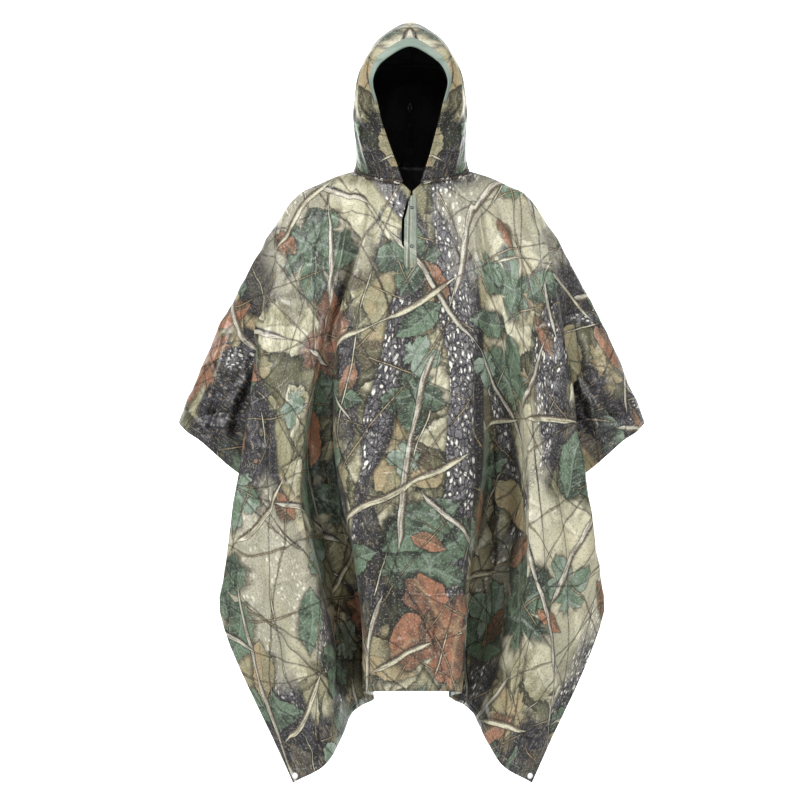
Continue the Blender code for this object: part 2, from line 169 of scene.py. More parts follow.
# %% Lights
SKY_STRENGTH = 0.05
CHEST, WALL_TOP = (0, 0, -0.5), (0, 3.4, 2.4)
LAMPS = (
    # name, place, aimed at, size, power
    ("side_right", (-3.1, -3.0, 3.3), CHEST, (1.0, 1.4), 302),
    ("wall_right", (-2.7, 1.6, -0.2), (-2.1, 3.4, -0.4), (1.0, 2.6), 190),
    ("side_left", (3.1, -3.0, 3.3), CHEST, (1.0, 1.4), 236),
    ("wall_left", (2.7, 1.6, -0.2), (2.1, 3.4, -0.4), (1.0, 2.6), 190),
    ("wall_top", (0, 1.3, 2.9), WALL_TOP, (5.0, 0.8), 260),
    ("front", (0.0, -6.5, 2.0), CHEST, (1.2, 1.2), 45),
)
bpy.context.scene.view_settings.view_transform = "Standard"
world = bpy.data.worlds.new("studio")
world.use_nodes = True
world.node_tree.nodes["Background"].inputs["Color"].default_value = (0.95, 0.97, 1.0, 1.0)
world.node_tree.nodes["Background"].inputs["Strength"].default_value = SKY_STRENGTH
bpy.context.scene.world = world


def add_lamp(name, place, target, size, power):
    lamp_data = bpy.data.lights.new(name, "AREA")
    lamp_data.shape = "RECTANGLE"
    lamp_data.size, lamp_data.size_y = size
    lamp_data.energy = power
    lamp = bpy.data.objects.new(name, lamp_data)
    lamp.location = place
    lamp.rotation_euler = (Vector(target) - Vector(place)).to_track_quat("-Z", "Y").to_euler()
    bpy.context.collection.objects.link(lamp)


for lamp_row in LAMPS:
    add_lamp(*lamp_row)
print("lamps:", [row[0] for row in LAMPS])

# %% [markdown]
# ## Fold lines
# The sheet could be draped by simulation alone, but then its folds would fall by chance. Instead each
# fold is a line drawn down the cloth, from the neck or shoulder to the hem or side edge, at six levels. A
# smooth surface is run through the lines, and each line also says where it lies on the flat cut sheet.

# %% Fold tables
RIGHT, LEFT = -1, 1
FRONT, BACK = -1, 1
OUT, FORWARD = 0, 1
LEVELS = (0.0, 0.1, 0.3, 0.55, 0.8, 1.0)
FOLD_STOPS = (0.0, 0.10, 0.25, 0.34, 0.42, 0.52, 0.61, 0.75, 0.88, 1.0)
SHEET_FOLDS = {  # drop, out and forward at each level
    "middle": (
        (-0.006, 0.000, 0.088),
        (0.095, 0.000, 0.128),
        (0.290, 0.000, 0.160),
        (0.545, 0.000, 0.172),
        (0.795, 0.000, 0.180),
        (0.999, 0.000, 0.184),
    ),
    "panel_edge": (
        (-0.012, 0.055, 0.075),
        (0.090, 0.078, 0.120),
        (0.290, 0.120, 0.163),
        (0.545, 0.126, 0.190),
        (0.795, 0.094, 0.202),
        (0.999, 0.088, 0.206),
    ),
    "valley": (
        (-0.020, 0.090, 0.045),
        (0.080, 0.112, 0.098),
        (0.290, 0.150, 0.132),
        (0.565, 0.158, 0.070),
        (0.820, 0.104, 0.034),
        (1.027, 0.076, 0.026),
    ),
    "valley_wall": (
        (-0.029, 0.104, 0.023),
        (0.075, 0.124, 0.094),
        (0.290, 0.170, 0.133),
        (0.575, 0.206, 0.104),
        (0.840, 0.156, 0.104),
        (1.051, 0.118, 0.106),
    ),
    "crest": (
        (-0.0365, 0.1125, 0.000),
        (0.070, 0.136, 0.088),
        (0.290, 0.182, 0.142),
        (0.590, 0.224, 0.166),
        (0.870, 0.180, 0.190),
        (1.133, 0.161, 0.186),
    ),
    "corner": (
        (-0.0150, 0.1780, 0.000),
        (0.080, 0.203, 0.078),
        (0.305, 0.242, 0.124),
        (0.620, 0.290, 0.148),
        (0.915, 0.286, 0.164),
        (1.182, 0.235, 0.160),
    ),
    "ridge": (
        (0.0260, 0.2430, 0.000),
        (0.110, 0.258, 0.066),
        (0.290, 0.301, 0.100),
        (0.510, 0.334, 0.122),
        (0.690, 0.362, 0.132),
        (0.845, 0.381, 0.126),
    ),
    "sleeve_valley": (
        (0.2285, 0.3626, 0.000),
        (0.268, 0.342, 0.040),
        (0.360, 0.296, 0.046),
        (0.490, 0.240, 0.034),
        (0.620, 0.205, 0.024),
        (0.730, 0.190, 0.022),
    ),
    "sleeve_front": (
        (0.3520, 0.4220, 0.000),
        (0.386, 0.404, 0.046),
        (0.434, 0.370, 0.064),
        (0.500, 0.328, 0.058),
        (0.560, 0.292, 0.044),
        (0.620, 0.262, 0.036),
    ),
    "cuff": (
        (0.4710, 0.4710, 0.000),
        (0.486, 0.456, 0.034),
        (0.506, 0.426, 0.054),
        (0.533, 0.395, 0.058),
        (0.558, 0.367, 0.050),
        (0.578, 0.342, 0.040),
    ),
}
FOLD_NAMES = tuple(SHEET_FOLDS)
# How much further out some folds lie on the wearer's left front. The back is folded as the front turned
# half round, so its right side has the left front's folds.
LEFT_SHIFT = {
    "panel_edge": (0.000, -0.004, -0.014, -0.020, 0.002, 0.004),
    "valley": (0.000, 0.004, 0.010, 0.006, 0.014, 0.006),
    "valley_wall": (0.000, 0.006, 0.016, 0.012, 0.028, 0.006),
    "crest": (0.000, 0.010, 0.018, 0.012, 0.040, 0.006),
    "corner": (0.000, 0.004, 0.008, 0.006, 0.012, 0.002),
}
BACK_NECK = {  # drop, out, forward
    "middle": (-0.052, 0.000, 0.088),
    "panel_edge": (-0.049, 0.055, 0.074),
    "valley": (-0.043, 0.090, 0.044),
    "valley_wall": (-0.040, 0.104, 0.022),
}
NECK_FOLDS = 4
SHARP_FOLD, SHARP_FROM_LEVEL = "corner", 0.75
# The cut: half the sheet's width and half its length, and each fold line's two ends on the flat sheet,
# as (out, along) from the middle of the shoulder line.
HALF_WIDTH, HALF_LENGTH = 0.725, 1.10
FLAT_ENDS = {
    "middle": ((0.0, 0.088), (0.0, HALF_LENGTH)),
    "panel_edge": ((0.056, 0.076), (0.098, HALF_LENGTH)),
    "valley": ((0.092, 0.046), (0.290, HALF_LENGTH)),
    "valley_wall": ((0.107, 0.024), (0.430, HALF_LENGTH)),
    "crest": ((0.115, 0.0), (0.625, HALF_LENGTH)),
    "corner": ((0.180, 0.0), (HALF_WIDTH, HALF_LENGTH)),
    "ridge": ((0.250, 0.0), (HALF_WIDTH, 0.730)),
    "sleeve_valley": ((0.480, 0.0), (HALF_WIDTH, 0.440)),
    "sleeve_front": ((0.610, 0.0), (HALF_WIDTH, 0.270)),
    "cuff": ((HALF_WIDTH, 0.0), (HALF_WIDTH, 0.146)),
}
print(len(FOLD_NAMES), "fold lines at", len(LEVELS), "levels")

# %% [markdown]
# ## A smooth surface through the lines
# A cubic curve through the points, with each slope taken from the neighbours, keeps the folds soft. Where
# a curve crosses the shoulder line or a middle line, its mirrored next point is added first, so it
# crosses squarely. The sheet's corner alone stays sharp.

# %% Smooth curves


def through(stops, points, where, sharp_at=None, sharpness=0.0):
    """A smooth curve through one row of points for each stop, read at other stops. One may be sharp."""
    stops = np.asarray(stops, float)
    where = np.atleast_1d(np.asarray(where, float))
    slopes = np.gradient(points, stops, axis=0)
    leaving, arriving = slopes, slopes.copy()
    if sharp_at is not None:
        k = sharp_at
        before = (points[k] - points[k - 1]) / (stops[k] - stops[k - 1])
        after = (points[k + 1] - points[k]) / (stops[k + 1] - stops[k])
        arriving[k] += (before - slopes[k]) * sharpness
        leaving[k] += (after - slopes[k]) * sharpness
    k = np.clip(np.searchsorted(stops, where, side="right") - 1, 0, len(stops) - 2)
    width = stops[k + 1] - stops[k]
    shape = (-1,) + (1,) * (points.ndim - 1)
    f = ((where - stops[k]) / width).reshape(shape)
    width = width.reshape(shape)
    start = points[k] * (1 + 2 * f) * (1 - f) ** 2 + leaving[k] * width * f * (1 - f) ** 2
    end = points[k + 1] * f * f * (3 - 2 * f) + arriving[k + 1] * width * f * f * (f - 1)
    return start + end


def mirror_start(stops, points, axis):
    before = points[1] * 1.0
    before[..., axis] *= -1
    return np.append(2 * stops[0] - stops[1], stops), np.concatenate([before[None], points])


def mirror_end(stops, points, axis):
    after = points[-2] * 1.0
    after[..., axis] *= -1
    return np.append(stops, 2 * stops[-1] - stops[-2]), np.concatenate([points, after[None]])


def sheet_net(side, face):
    """The fold lines of one quarter as a net of (out, forward, up), level by level."""
    shifted = LEFT_SHIFT if side * face < 0 else {}
    columns = []
    for name in FOLD_NAMES:
        rows = [list(row) for row in SHEET_FOLDS[name]]
        if face == BACK and name in BACK_NECK:
            rows[0] = list(BACK_NECK[name])
        for row, shift in zip(rows, shifted.get(name, (0.0,) * len(LEVELS))):
            row[1] += shift
        columns.append([(out, forward, -drop) for drop, out, forward in rows])
    return np.array(columns).transpose(1, 0, 2)


def sheet_points(side, face, levels, stops):
    """Points of one quarter of the sheet at the given levels and stops."""
    net = sheet_net(side, face)
    level_stops, strands = mirror_start(LEVELS, net, FORWARD)
    strands[0, :NECK_FOLDS] = 2 * net[0, :NECK_FOLDS] - net[1, :NECK_FOLDS]
    rows = through(level_stops, strands, levels)
    fold_stops, across = mirror_start(FOLD_STOPS, rows.transpose(1, 0, 2), OUT)
    sharpness = np.clip((np.asarray(levels, float) - SHARP_FROM_LEVEL) / (1 - SHARP_FROM_LEVEL), 0, 1)
    corner = 1 + FOLD_NAMES.index(SHARP_FOLD)
    grid = through(fold_stops, across, stops, corner, sharpness[:, None]).transpose(1, 0, 2)
    return grid * (side, face, 1.0)


print("chest at mid level:", sheet_points(LEFT, FRONT, [0.5], [0.0]).round(3).tolist())

# %% [markdown]
# ## Short calls for shader nodes
# A procedural print is a sum: every leaf, twig and strip of bark is worked out from where a point lies on
# the cloth. Long sums are hard to read as nodes, so a small class turns each node into one short call.

# %% Node helper


class Graph:
    """Adds nodes to one tree. A value is a number, a colour, or another node's output."""

    def __init__(self, tree):
        self.tree = tree

    def node(self, kind, *values, **settings):
        made = self.tree.nodes.new("ShaderNode" + kind)
        for name, value in settings.items():
            setattr(made, name, value)
        for socket, value in zip(made.inputs, values):
            self.plug(socket, value)
        return made

    def plug(self, socket, value):
        if isinstance(value, bpy.types.NodeSocket):
            self.tree.links.new(value, socket)
        elif value is not None:
            socket.default_value = value

    def math(self, operation, *values):
        return self.node("Math", *values, operation=operation).outputs[0]

    def add(self, a, b):
        return self.math("ADD", a, b)

    def sub(self, a, b):
        return self.math("SUBTRACT", a, b)

    def mul(self, a, b):
        return self.math("MULTIPLY", a, b)

    def size(self, a):
        return self.math("ABSOLUTE", a)

    def both(self, a, b):
        return self.math("MINIMUM", a, b)

    def either(self, a, b):
        return self.math("MAXIMUM", a, b)

    def vector(self, operation, *values):
        made = self.node("VectorMath", *values, operation=operation)
        return made.outputs["Value" if operation in ("LENGTH", "DISTANCE") else "Vector"]

    def scaled(self, vector, factor):
        made = self.node("VectorMath", vector, operation="SCALE")
        self.plug(made.inputs["Scale"], factor)
        return made.outputs["Vector"]

    def turned(self, vector, angle):
        made = self.node("VectorRotate", vector, rotation_type="Z_AXIS")
        self.plug(made.inputs["Angle"], angle)
        return made.outputs["Vector"]

    def split(self, vector):
        return self.node("SeparateXYZ", vector).outputs[:]

    def join(self, x, y):
        return self.node("CombineXYZ", x, y).outputs[0]

    def rise(self, value, low, high):
        """0 below low, 1 above high, and a soft step between."""
        return self.node("MapRange", value, low, high, interpolation_type="SMOOTHSTEP").outputs[0]

    def fall(self, value, low, high):
        return self.sub(1.0, self.rise(value, low, high))

    def noise(self, place, scale, detail=2.0, roughness=0.5):
        made = self.node("TexNoise", place, noise_dimensions="2D")
        for name, value in (("Scale", scale), ("Detail", detail), ("Roughness", roughness)):
            self.plug(made.inputs[name], value)
        return made.outputs["Fac"]

    def cells(self, place, scale, feature="F1", randomness=1.0):
        made = self.node("TexVoronoi", place, voronoi_dimensions="2D", feature=feature)
        self.plug(made.inputs["Scale"], scale)
        self.plug(made.inputs["Randomness"], randomness)
        return made.outputs

    def mix(self, share, a, b, blend="MIX"):
        made = self.node("Mix", share, data_type="RGBA", blend_type=blend)
        self.plug(made.inputs[6], a)
        self.plug(made.inputs[7], b)
        return made.outputs[2]

    def blend(self, share, a, b):
        """The same for two numbers."""
        return self.node("Mix", share, None, a, b, data_type="FLOAT").outputs[0]


def new_group(name, inputs, outputs):
    """A node group, its helper, its input sockets by name, and its output node."""
    tree = bpy.data.node_groups.new(name, "ShaderNodeTree")
    kinds = {"vector": "NodeSocketVector", "value": "NodeSocketFloat", "colour": "NodeSocketColor"}
    for in_out, sockets in (("INPUT", inputs), ("OUTPUT", outputs)):
        for socket, kind in sockets.items():
            tree.interface.new_socket(socket, in_out=in_out, socket_type=kinds[kind])
    graph = Graph(tree)
    given = tree.nodes.new("NodeGroupInput").outputs
    result = tree.nodes.new("NodeGroupOutput").inputs
    return graph, given, result


def place_group(graph, name, **values):
    """The named group as one node of the graph. Its outputs are returned."""
    made = graph.tree.nodes.new("ShaderNodeGroup")
    made.node_tree = bpy.data.node_groups[name]
    for socket, value in values.items():
        graph.plug(made.inputs[socket], value)
    return made.outputs


def rgb(red, green, blue):
    """A colour from its 0 to 255 display values, as the linear values that shaders use."""
    parts = [value / 255 for value in (red, green, blue)]
    linear = [part / 12.92 if part < 0.04045 else ((part + 0.055) / 1.055) ** 2.4 for part in parts]
    return (*linear, 1.0)


print("rust on screen (156, 104, 76) is", [round(value, 3) for value in rgb(156, 104, 76)])

# %% [markdown]
# ## Scattered leaves
# Leaves lie at random, like stamps. A Voronoi texture divides the cloth into cells and tells each point
# its cell's centre and a random colour; from these come a turned and scaled place inside one leaf. A
# leaf's outline is then a single formula: half-width along a midrib, or radius round a stalk.

# %% Leaf groups


def build_scatter():
    """Each point's place inside the leaf of its own cell, whether that cell has a leaf, and its tint."""
    graph, given, result = new_group(
        "scatter",
        {"Place": "vector", "Shift": "vector", "Cell": "value", "Size": "value", "Share": "value"},
        {"Local": "vector", "Present": "value", "Tint": "value"},
    )
    moved = graph.vector("ADD", given["Place"], given["Shift"])
    cell = graph.cells(moved, graph.math("DIVIDE", 1.0, given["Cell"]), randomness=0.6)
    chance, grow, angle = graph.node("SeparateColor", cell["Color"]).outputs[:]
    local = graph.vector("SUBTRACT", moved, cell["Position"])
    local = graph.turned(local, graph.mul(angle, math.tau))
    size = graph.mul(given["Size"], graph.add(0.7, graph.mul(grow, 0.55)))
    local = graph.scaled(local, graph.math("DIVIDE", 1.0, size))
    ripple = graph.node("TexNoise", local, noise_dimensions="2D")
    ripple.inputs["Scale"].default_value = 1.4
    bend = graph.scaled(graph.vector("SUBTRACT", ripple.outputs["Color"], (0.5, 0.5, 0.5)), 0.35)
    graph.plug(result["Local"], graph.vector("ADD", local, bend))
    graph.plug(result["Present"], graph.math("LESS_THAN", chance, given["Share"]))
    graph.plug(result["Tint"], graph.math("FRACT", graph.mul(chance, 17.0)))


def build_pointed_leaf():
    """A beech-like leaf from x = -1 to its tip at 1. Inside is its distance in from the edge."""
    graph, given, result = new_group(
        "pointed_leaf", {"Local": "vector"}, {"Inside": "value", "Vein": "value", "Half": "value"},
    )
    x, y, _ = graph.split(given["Local"])
    off = graph.size(y)
    swell = graph.mul(graph.sub(1.0, graph.mul(x, x)), graph.sub(0.46, graph.mul(x, 0.16)))
    teeth = graph.mul(graph.math("PINGPONG", graph.mul(x, 6.0), 0.5), 0.05)
    graph.plug(result["Inside"], graph.sub(graph.sub(swell, teeth), off))
    rib = graph.fall(off, 0.012, 0.04)
    slant = graph.math("FRACT", graph.mul(graph.sub(x, graph.mul(off, 0.85)), 5.0))
    side = graph.fall(graph.size(graph.sub(slant, 0.5)), 0.03, 0.14)
    graph.plug(result["Vein"], graph.either(rib, graph.mul(side, 0.6)))
    graph.plug(result["Half"], graph.rise(y, -0.04, 0.04))


def build_lobed_leaf():
    """A leaf of five lobes round its stalk end, the one along +X the longest."""
    graph, given, result = new_group(
        "lobed_leaf", {"Local": "vector"}, {"Inside": "value", "Vein": "value", "Half": "value"},
    )
    x, y, _ = graph.split(given["Local"])
    reach = graph.vector("LENGTH", given["Local"])
    turn = graph.math("ARCTAN2", y, x)
    lobes = graph.math("POWER", graph.size(graph.math("COSINE", graph.mul(turn, 2.5))), 0.55)
    longer = graph.add(0.74, graph.mul(graph.math("COSINE", turn), 0.26))
    edge = graph.mul(graph.add(0.36, graph.mul(lobes, 0.60)), longer)
    teeth = graph.mul(graph.math("SINE", graph.mul(turn, 21.0)), 0.035)
    graph.plug(result["Inside"], graph.sub(graph.add(edge, teeth), reach))
    across = graph.mul(graph.size(graph.math("SINE", graph.mul(turn, 2.5))), reach)
    rib = graph.fall(across, 0.02, 0.09)
    slant = graph.math("FRACT", graph.mul(graph.sub(reach, graph.mul(across, 0.5)), 7.0))
    side = graph.fall(graph.size(graph.sub(slant, 0.5)), 0.03, 0.14)
    graph.plug(result["Vein"], graph.either(rib, graph.mul(side, 0.45)))
    graph.plug(result["Half"], graph.rise(graph.math("SINE", graph.mul(turn, 5.0)), -0.3, 0.3))


build_scatter()
build_pointed_leaf()
build_lobed_leaf()
print("leaf groups:", [group.name for group in bpy.data.node_groups])

# %% [markdown]
# ## Branches and bark
# A branch is a band round a wandering line. The same group, wide and long, also gives the bark strips: it
# puts out how far across the band a point lies, and along it, so each use can shade or fill the band its
# own way. Bands taper and end where a slow noise falls below a threshold.

# %% Branch and bark groups


def build_bands():
    """Wandering bands: distance in from the edge, share across, and place along and off the middle."""
    graph, given, result = new_group(
        "bands",
        {
            "Place": "vector", "Shift": "vector", "Angle": "value", "Spacing": "value", "Width": "value",
            "Wander": "value", "Reach": "value", "Share": "value",
        },
        {"Inside": "value", "Across": "value", "Along": "value", "Off": "value"},
    )
    place = graph.turned(graph.vector("ADD", given["Place"], given["Shift"]), given["Angle"])
    along, off, _ = graph.split(place)
    slow = graph.noise(graph.join(graph.mul(along, 2.6), graph.mul(off, 1.1)), 1.0, 1.0)
    quick = graph.noise(graph.join(graph.mul(along, 13.0), graph.mul(off, 4.0)), 1.0, 1.0)
    wander = graph.add(graph.mul(graph.sub(slow, 0.5), 1.6), graph.mul(graph.sub(quick, 0.5), 0.16))
    off = graph.add(off, graph.mul(wander, given["Wander"]))
    line = graph.math("ROUND", graph.math("DIVIDE", off, given["Spacing"]))
    off = graph.sub(off, graph.mul(line, given["Spacing"]))
    share_along = graph.math("DIVIDE", along, given["Reach"])
    seen = graph.noise(graph.join(share_along, graph.mul(line, 7.3)), 1.0, 0.0)
    least = graph.sub(0.72, graph.mul(given["Share"], 0.5))
    thick = graph.mul(given["Width"], graph.rise(seen, least, graph.add(least, 0.2)))
    graph.plug(result["Inside"], graph.sub(thick, graph.size(off)))
    graph.plug(result["Across"], graph.math("DIVIDE", off, graph.either(thick, 0.0005)))
    graph.plug(result["Along"], along)
    graph.plug(result["Off"], off)


BARK_SCALE = 128.0  # plates to a metre


def build_bark():
    """Plates of bark between dark furrows. Flake is the pale, worn middle of some of the plates."""
    graph, given, result = new_group(
        "bark", {"Along": "value", "Off": "value"}, {"Plate": "value", "Flake": "value", "Tone": "value"},
    )
    place = graph.join(given["Off"], graph.mul(given["Along"], 0.50))
    shake = graph.scaled(graph.join(graph.noise(place, 60.0), graph.noise(place, 71.0)), 0.010)
    place = graph.vector("ADD", place, shake)
    gaps = graph.cells(place, BARK_SCALE, feature="DISTANCE_TO_EDGE")["Distance"]
    plates = graph.cells(place, BARK_SCALE)
    chance, grow, tone = graph.node("SeparateColor", plates["Color"]).outputs[:]
    graph.plug(result["Plate"], graph.rise(gaps, 0.03, 0.16))
    worn = graph.fall(plates["Distance"], graph.mul(grow, 0.25), graph.add(0.12, graph.mul(grow, 0.35)))
    graph.plug(result["Flake"], graph.mul(worn, graph.rise(chance, 0.35, 0.5)))
    graph.plug(result["Tone"], tone)


build_bands()
build_bark()
print("groups now:", len(bpy.data.node_groups))

# %% [markdown]
# ## The print, layer on layer
# The print is a general woodland camouflage: a pale khaki ground with faint big leaves, strips of bark
# down the cloth, leaves in green, rust and tan, and branches and twigs over them all. Each row of a table
# is one layer, and each layer first darkens what lies under its edge, which lifts it off the ground.

# %% Print tables
CREAM, KHAKI, OLIVE = rgb(198, 194, 168), rgb(142, 138, 107), rgb(84, 83, 59)
MOSS, DARK_MOSS, SHADE = rgb(95, 115, 92), rgb(46, 57, 43), rgb(24, 22, 19)
RUST, DARK_RUST, TAN, BROWN = rgb(150, 103, 77), rgb(92, 67, 52), rgb(162, 145, 110), rgb(78, 65, 50)
BARK, BARK_LIGHT, FURROW, FLAKE = rgb(66, 64, 71), rgb(112, 109, 110), rgb(18, 16, 18), rgb(226, 223, 212)
SILVER, LICHEN = rgb(188, 184, 168), rgb(138, 152, 138)
# Partly print, partly painted light: dark bark that also paints the shade under the sleeves, beside the
# valleys, on the shoulders and at the corners, and pale litter that also paints light on the lit panels and
# in the valleys.
PRINT_AND_PAINTED_LIGHT_PATCHES = (
    # side (0: both); middle across, along; reach across, along; how dark (below zero: how pale)
    (0, (0.645, -0.165), (0.105, 0.100), 1.0),
    (0, (0.385, -0.100), (0.075, 0.100), 0.9),
    (0, (0.310, -0.045), (0.040, 0.050), 0.8),
    (-1, (0.318, -0.200), (0.045, 0.070), 0.5),
    (0, (0.705, -1.070), (0.145, 0.105), 1.0),
    (0, (0.500, -0.420), (0.070, 0.110), 0.8),
    (0, (0.570, -0.720), (0.140, 0.170), -0.6),
    (0, (0.215, -0.120), (0.130, 0.130), -0.5),
    (-1, (0.132, -0.490), (0.034, 0.150), 0.9),
    (-1, (0.094, -0.860), (0.032, 0.200), 0.9),
    (1, (0.225, -0.330), (0.050, 0.110), -0.7),
    (1, (0.350, -0.520), (0.055, 0.090), -0.7),
    (1, (0.440, -0.690), (0.050, 0.130), -0.7),
    (1, (0.475, -0.840), (0.055, 0.110), -0.7),
    (1, (0.360, -0.890), (0.070, 0.110), -0.4),
    (0, (0.430, 0.610), (0.150, 0.075), 1.0),
    (0, (0.420, 0.300), (0.160, 0.065), -0.8),
    (0, (0.160, 0.500), (0.120, 0.160), -0.5),
    (0, (0.640, 0.250), (0.110, 0.120), 1.0),
    (0, (0.695, 1.065), (0.145, 0.100), 1.0),
)
PAINTED_SHADE_PATCHES = (  # painted shade, in the same columns, laid over the leaves: under the sleeves and at the corners
    (0, (0.682, -0.190), (0.075, 0.050), 0.8),
    (0, (0.712, -1.085), (0.100, 0.075), 0.85),
    (0, (0.705, 1.080), (0.110, 0.075), 0.85),
)
BED_LAYERS = (
    # kind, cell, size, share, shift, body, second, vein
    ("pointed_leaf", 0.150, 0.098, 1.00, (3.1, 1.7, 0), CREAM, KHAKI, OLIVE),
    ("pointed_leaf", 0.190, 0.104, 0.85, (8.7, 2.3, 0), KHAKI, OLIVE, CREAM),
    ("lobed_leaf", 0.200, 0.108, 0.70, (7.3, 5.9, 0), TAN, KHAKI, BROWN),
    ("pointed_leaf", 0.160, 0.080, 0.45, (1.9, 8.3, 0), OLIVE, BROWN, KHAKI),
    ("pointed_leaf", 0.230, 0.108, 0.60, (5.7, 6.6, 0), CREAM, KHAKI, OLIVE),
    ("lobed_leaf", 0.210, 0.080, 0.42, (2.8, 4.4, 0), SHADE, DARK_MOSS, OLIVE),
)
LEAF_LAYERS = (
    ("lobed_leaf", 0.240, 0.118, 0.50, (5.3, 2.9, 0), MOSS, DARK_MOSS, LICHEN),
    ("pointed_leaf", 0.170, 0.080, 0.36, (9.7, 4.1, 0), DARK_MOSS, MOSS, LICHEN),
    ("pointed_leaf", 0.200, 0.092, 0.34, (6.7, 9.1, 0), TAN, KHAKI, BROWN),
    ("lobed_leaf", 0.330, 0.132, 0.50, (2.3, 6.1, 0), RUST, DARK_RUST, TAN),
    ("lobed_leaf", 0.190, 0.070, 0.28, (4.2, 8.8, 0), LICHEN, MOSS, DARK_MOSS),
    ("pointed_leaf", 0.170, 0.052, 0.26, (4.9, 3.7, 0), RUST, BROWN, TAN),
)
BRANCH_LAYERS = (
    # angle, spacing, width, wander, reach, share, shift, lit side, shaded side
    (68, 0.170, 0.0013, 0.045, 0.10, 0.42, (0.4, 2.2, 0), SHADE, SHADE),
    (-52, 0.120, 0.0015, 0.040, 0.08, 0.50, (4.4, 1.2, 0), TAN, BROWN),
    (24, 0.130, 0.0015, 0.040, 0.08, 0.48, (2.6, 7.7, 0), TAN, BROWN),
    (-76, 0.170, 0.0018, 0.045, 0.10, 0.52, (7.6, 3.7, 0), CREAM, FURROW),
    (62, 0.150, 0.0017, 0.045, 0.09, 0.46, (9.2, 6.3, 0), TAN, FURROW),
    (104, 0.290, 0.0068, 0.060, 0.17, 0.66, (8.1, 0.7, 0), SILVER, BROWN),
    (48, 0.300, 0.0060, 0.055, 0.15, 0.60, (1.3, 5.5, 0), SILVER, FURROW),
    (-28, 0.310, 0.0064, 0.055, 0.15, 0.60, (3.9, 9.4, 0), CREAM, BROWN),
)
BARK_STRIPS = (
    # angle, spacing, width, wander, reach, share, shift
    (58, 0.640, 0.020, 0.05, 0.40, 0.75, (6.2, 1.1, 0)),
    (88, 0.300, 0.050, 0.05, 0.80, 1.00, (0.10, 3.3, 0)),
    (102, 0.450, 0.030, 0.05, 0.50, 0.80, (2.7, 6.4, 0)),
)
print("layers:", len(BED_LAYERS), "bed,", len(LEAF_LAYERS), "leaf,", len(BRANCH_LAYERS), "branch")

# %% Leaves and bark, one layer
EDGE_SHADE = (0.25, 0.235, 0.22, 1.0)
VEIN_SHARE, ROUND_SHARE = 0.42, 0.8


def darkened(graph, under, share):
    """What lies under a layer's edge, shaded there."""
    return graph.mix(share, under, graph.mix(1.0, under, EDGE_SHADE, "MULTIPLY"))


def lay_leaves(graph, under, place, mottle, kind, cell, size, share, shift, body, second, vein):
    """Leaves of one kind: a random place inside each, its outline, two colours and the veins."""
    stamp = place_group(graph, "scatter", Place=place, Shift=shift, Cell=cell, Size=size, Share=share)
    leaf = place_group(graph, kind, Local=stamp["Local"])
    under = darkened(graph, under, graph.mul(graph.rise(leaf["Inside"], -0.16, 0.02), stamp["Present"]))
    tint = graph.add(graph.mul(leaf["Half"], 0.34), graph.add(graph.mul(stamp["Tint"], 0.4), mottle))
    colour = graph.mix(graph.rise(tint, 0.1, 0.9), body, second)
    colour = graph.mix(graph.mul(leaf["Vein"], VEIN_SHARE), colour, vein)
    here = graph.mul(graph.rise(leaf["Inside"], 0.0, 0.03), stamp["Present"])
    return graph.mix(here, under, colour)


def place_band(graph, place, angle, spacing, width, wander, reach, share, shift):
    return place_group(
        graph, "bands", Place=place, Shift=shift, Angle=math.radians(angle), Spacing=spacing, Width=width,
        Wander=wander, Reach=reach, Share=share,
    )


def lay_bark(graph, under, place, *strip):
    """Strips of bark, in shade on one side so that they look round."""
    band = place_band(graph, place, *strip)
    bark = place_group(graph, "bark", Along=band["Along"], Off=band["Off"])
    under = darkened(graph, under, graph.rise(band["Inside"], -0.008, 0.001))
    colour = graph.mix(bark["Tone"], BARK, BARK_LIGHT)
    colour = graph.mix(bark["Plate"], FURROW, colour)
    round_side = graph.rise(band["Across"], 0.25, 0.75)
    colour = graph.mix(graph.mul(bark["Flake"], graph.fall(band["Across"], 0.1, 0.6)), colour, FLAKE)
    colour = graph.mix(graph.mul(round_side, ROUND_SHARE), colour, FURROW)
    return graph.mix(graph.rise(band["Inside"], 0.0, 0.002), under, colour)


print("edges are shaded to", EDGE_SHADE[:3])

# %% Patches and branches, one layer
PATCH_RAGGED = 1.1  # how far the noise moves a patch's edge, as a share of its reach
PATCH_EDGE = {True: (0.75, 1.05), False: (0.75, 1.4)}  # dark ones end short, pale ones fade
GRAIN_SHARE = 0.6


def lay_patches(graph, under, place, rows):
    """Broad grounds of dark bark and of pale litter, partly painted shade and painted light, most of them
    alike on the two sides of the cut.
    """
    x, y, _ = graph.split(place)
    ragged = graph.mul(graph.sub(graph.noise(place, 14.0, 3.0), 0.5), PATCH_RAGGED)
    folded = {0: graph.join(graph.size(x), y), 1: place, -1: graph.join(graph.mul(x, -1.0), y)}
    bark = place_group(graph, "bark", Along=graph.mul(y, 0.8), Off=graph.mul(x, 1.25))
    dark = graph.mix(bark["Plate"], FURROW, graph.mix(bark["Tone"], FURROW, BARK))
    dark = graph.mix(graph.mul(bark["Flake"], 0.35), dark, TAN)
    for side, middle, reach, depth in rows:
        away = graph.vector("SUBTRACT", folded[side], (*middle, 0.0))
        away = graph.vector("LENGTH", graph.vector("DIVIDE", away, (*reach, 1.0)))
        here = graph.fall(graph.add(away, ragged), *PATCH_EDGE[depth > 0])
        under = graph.mix(graph.mul(here, abs(depth)), under, dark if depth > 0 else CREAM)
    return under


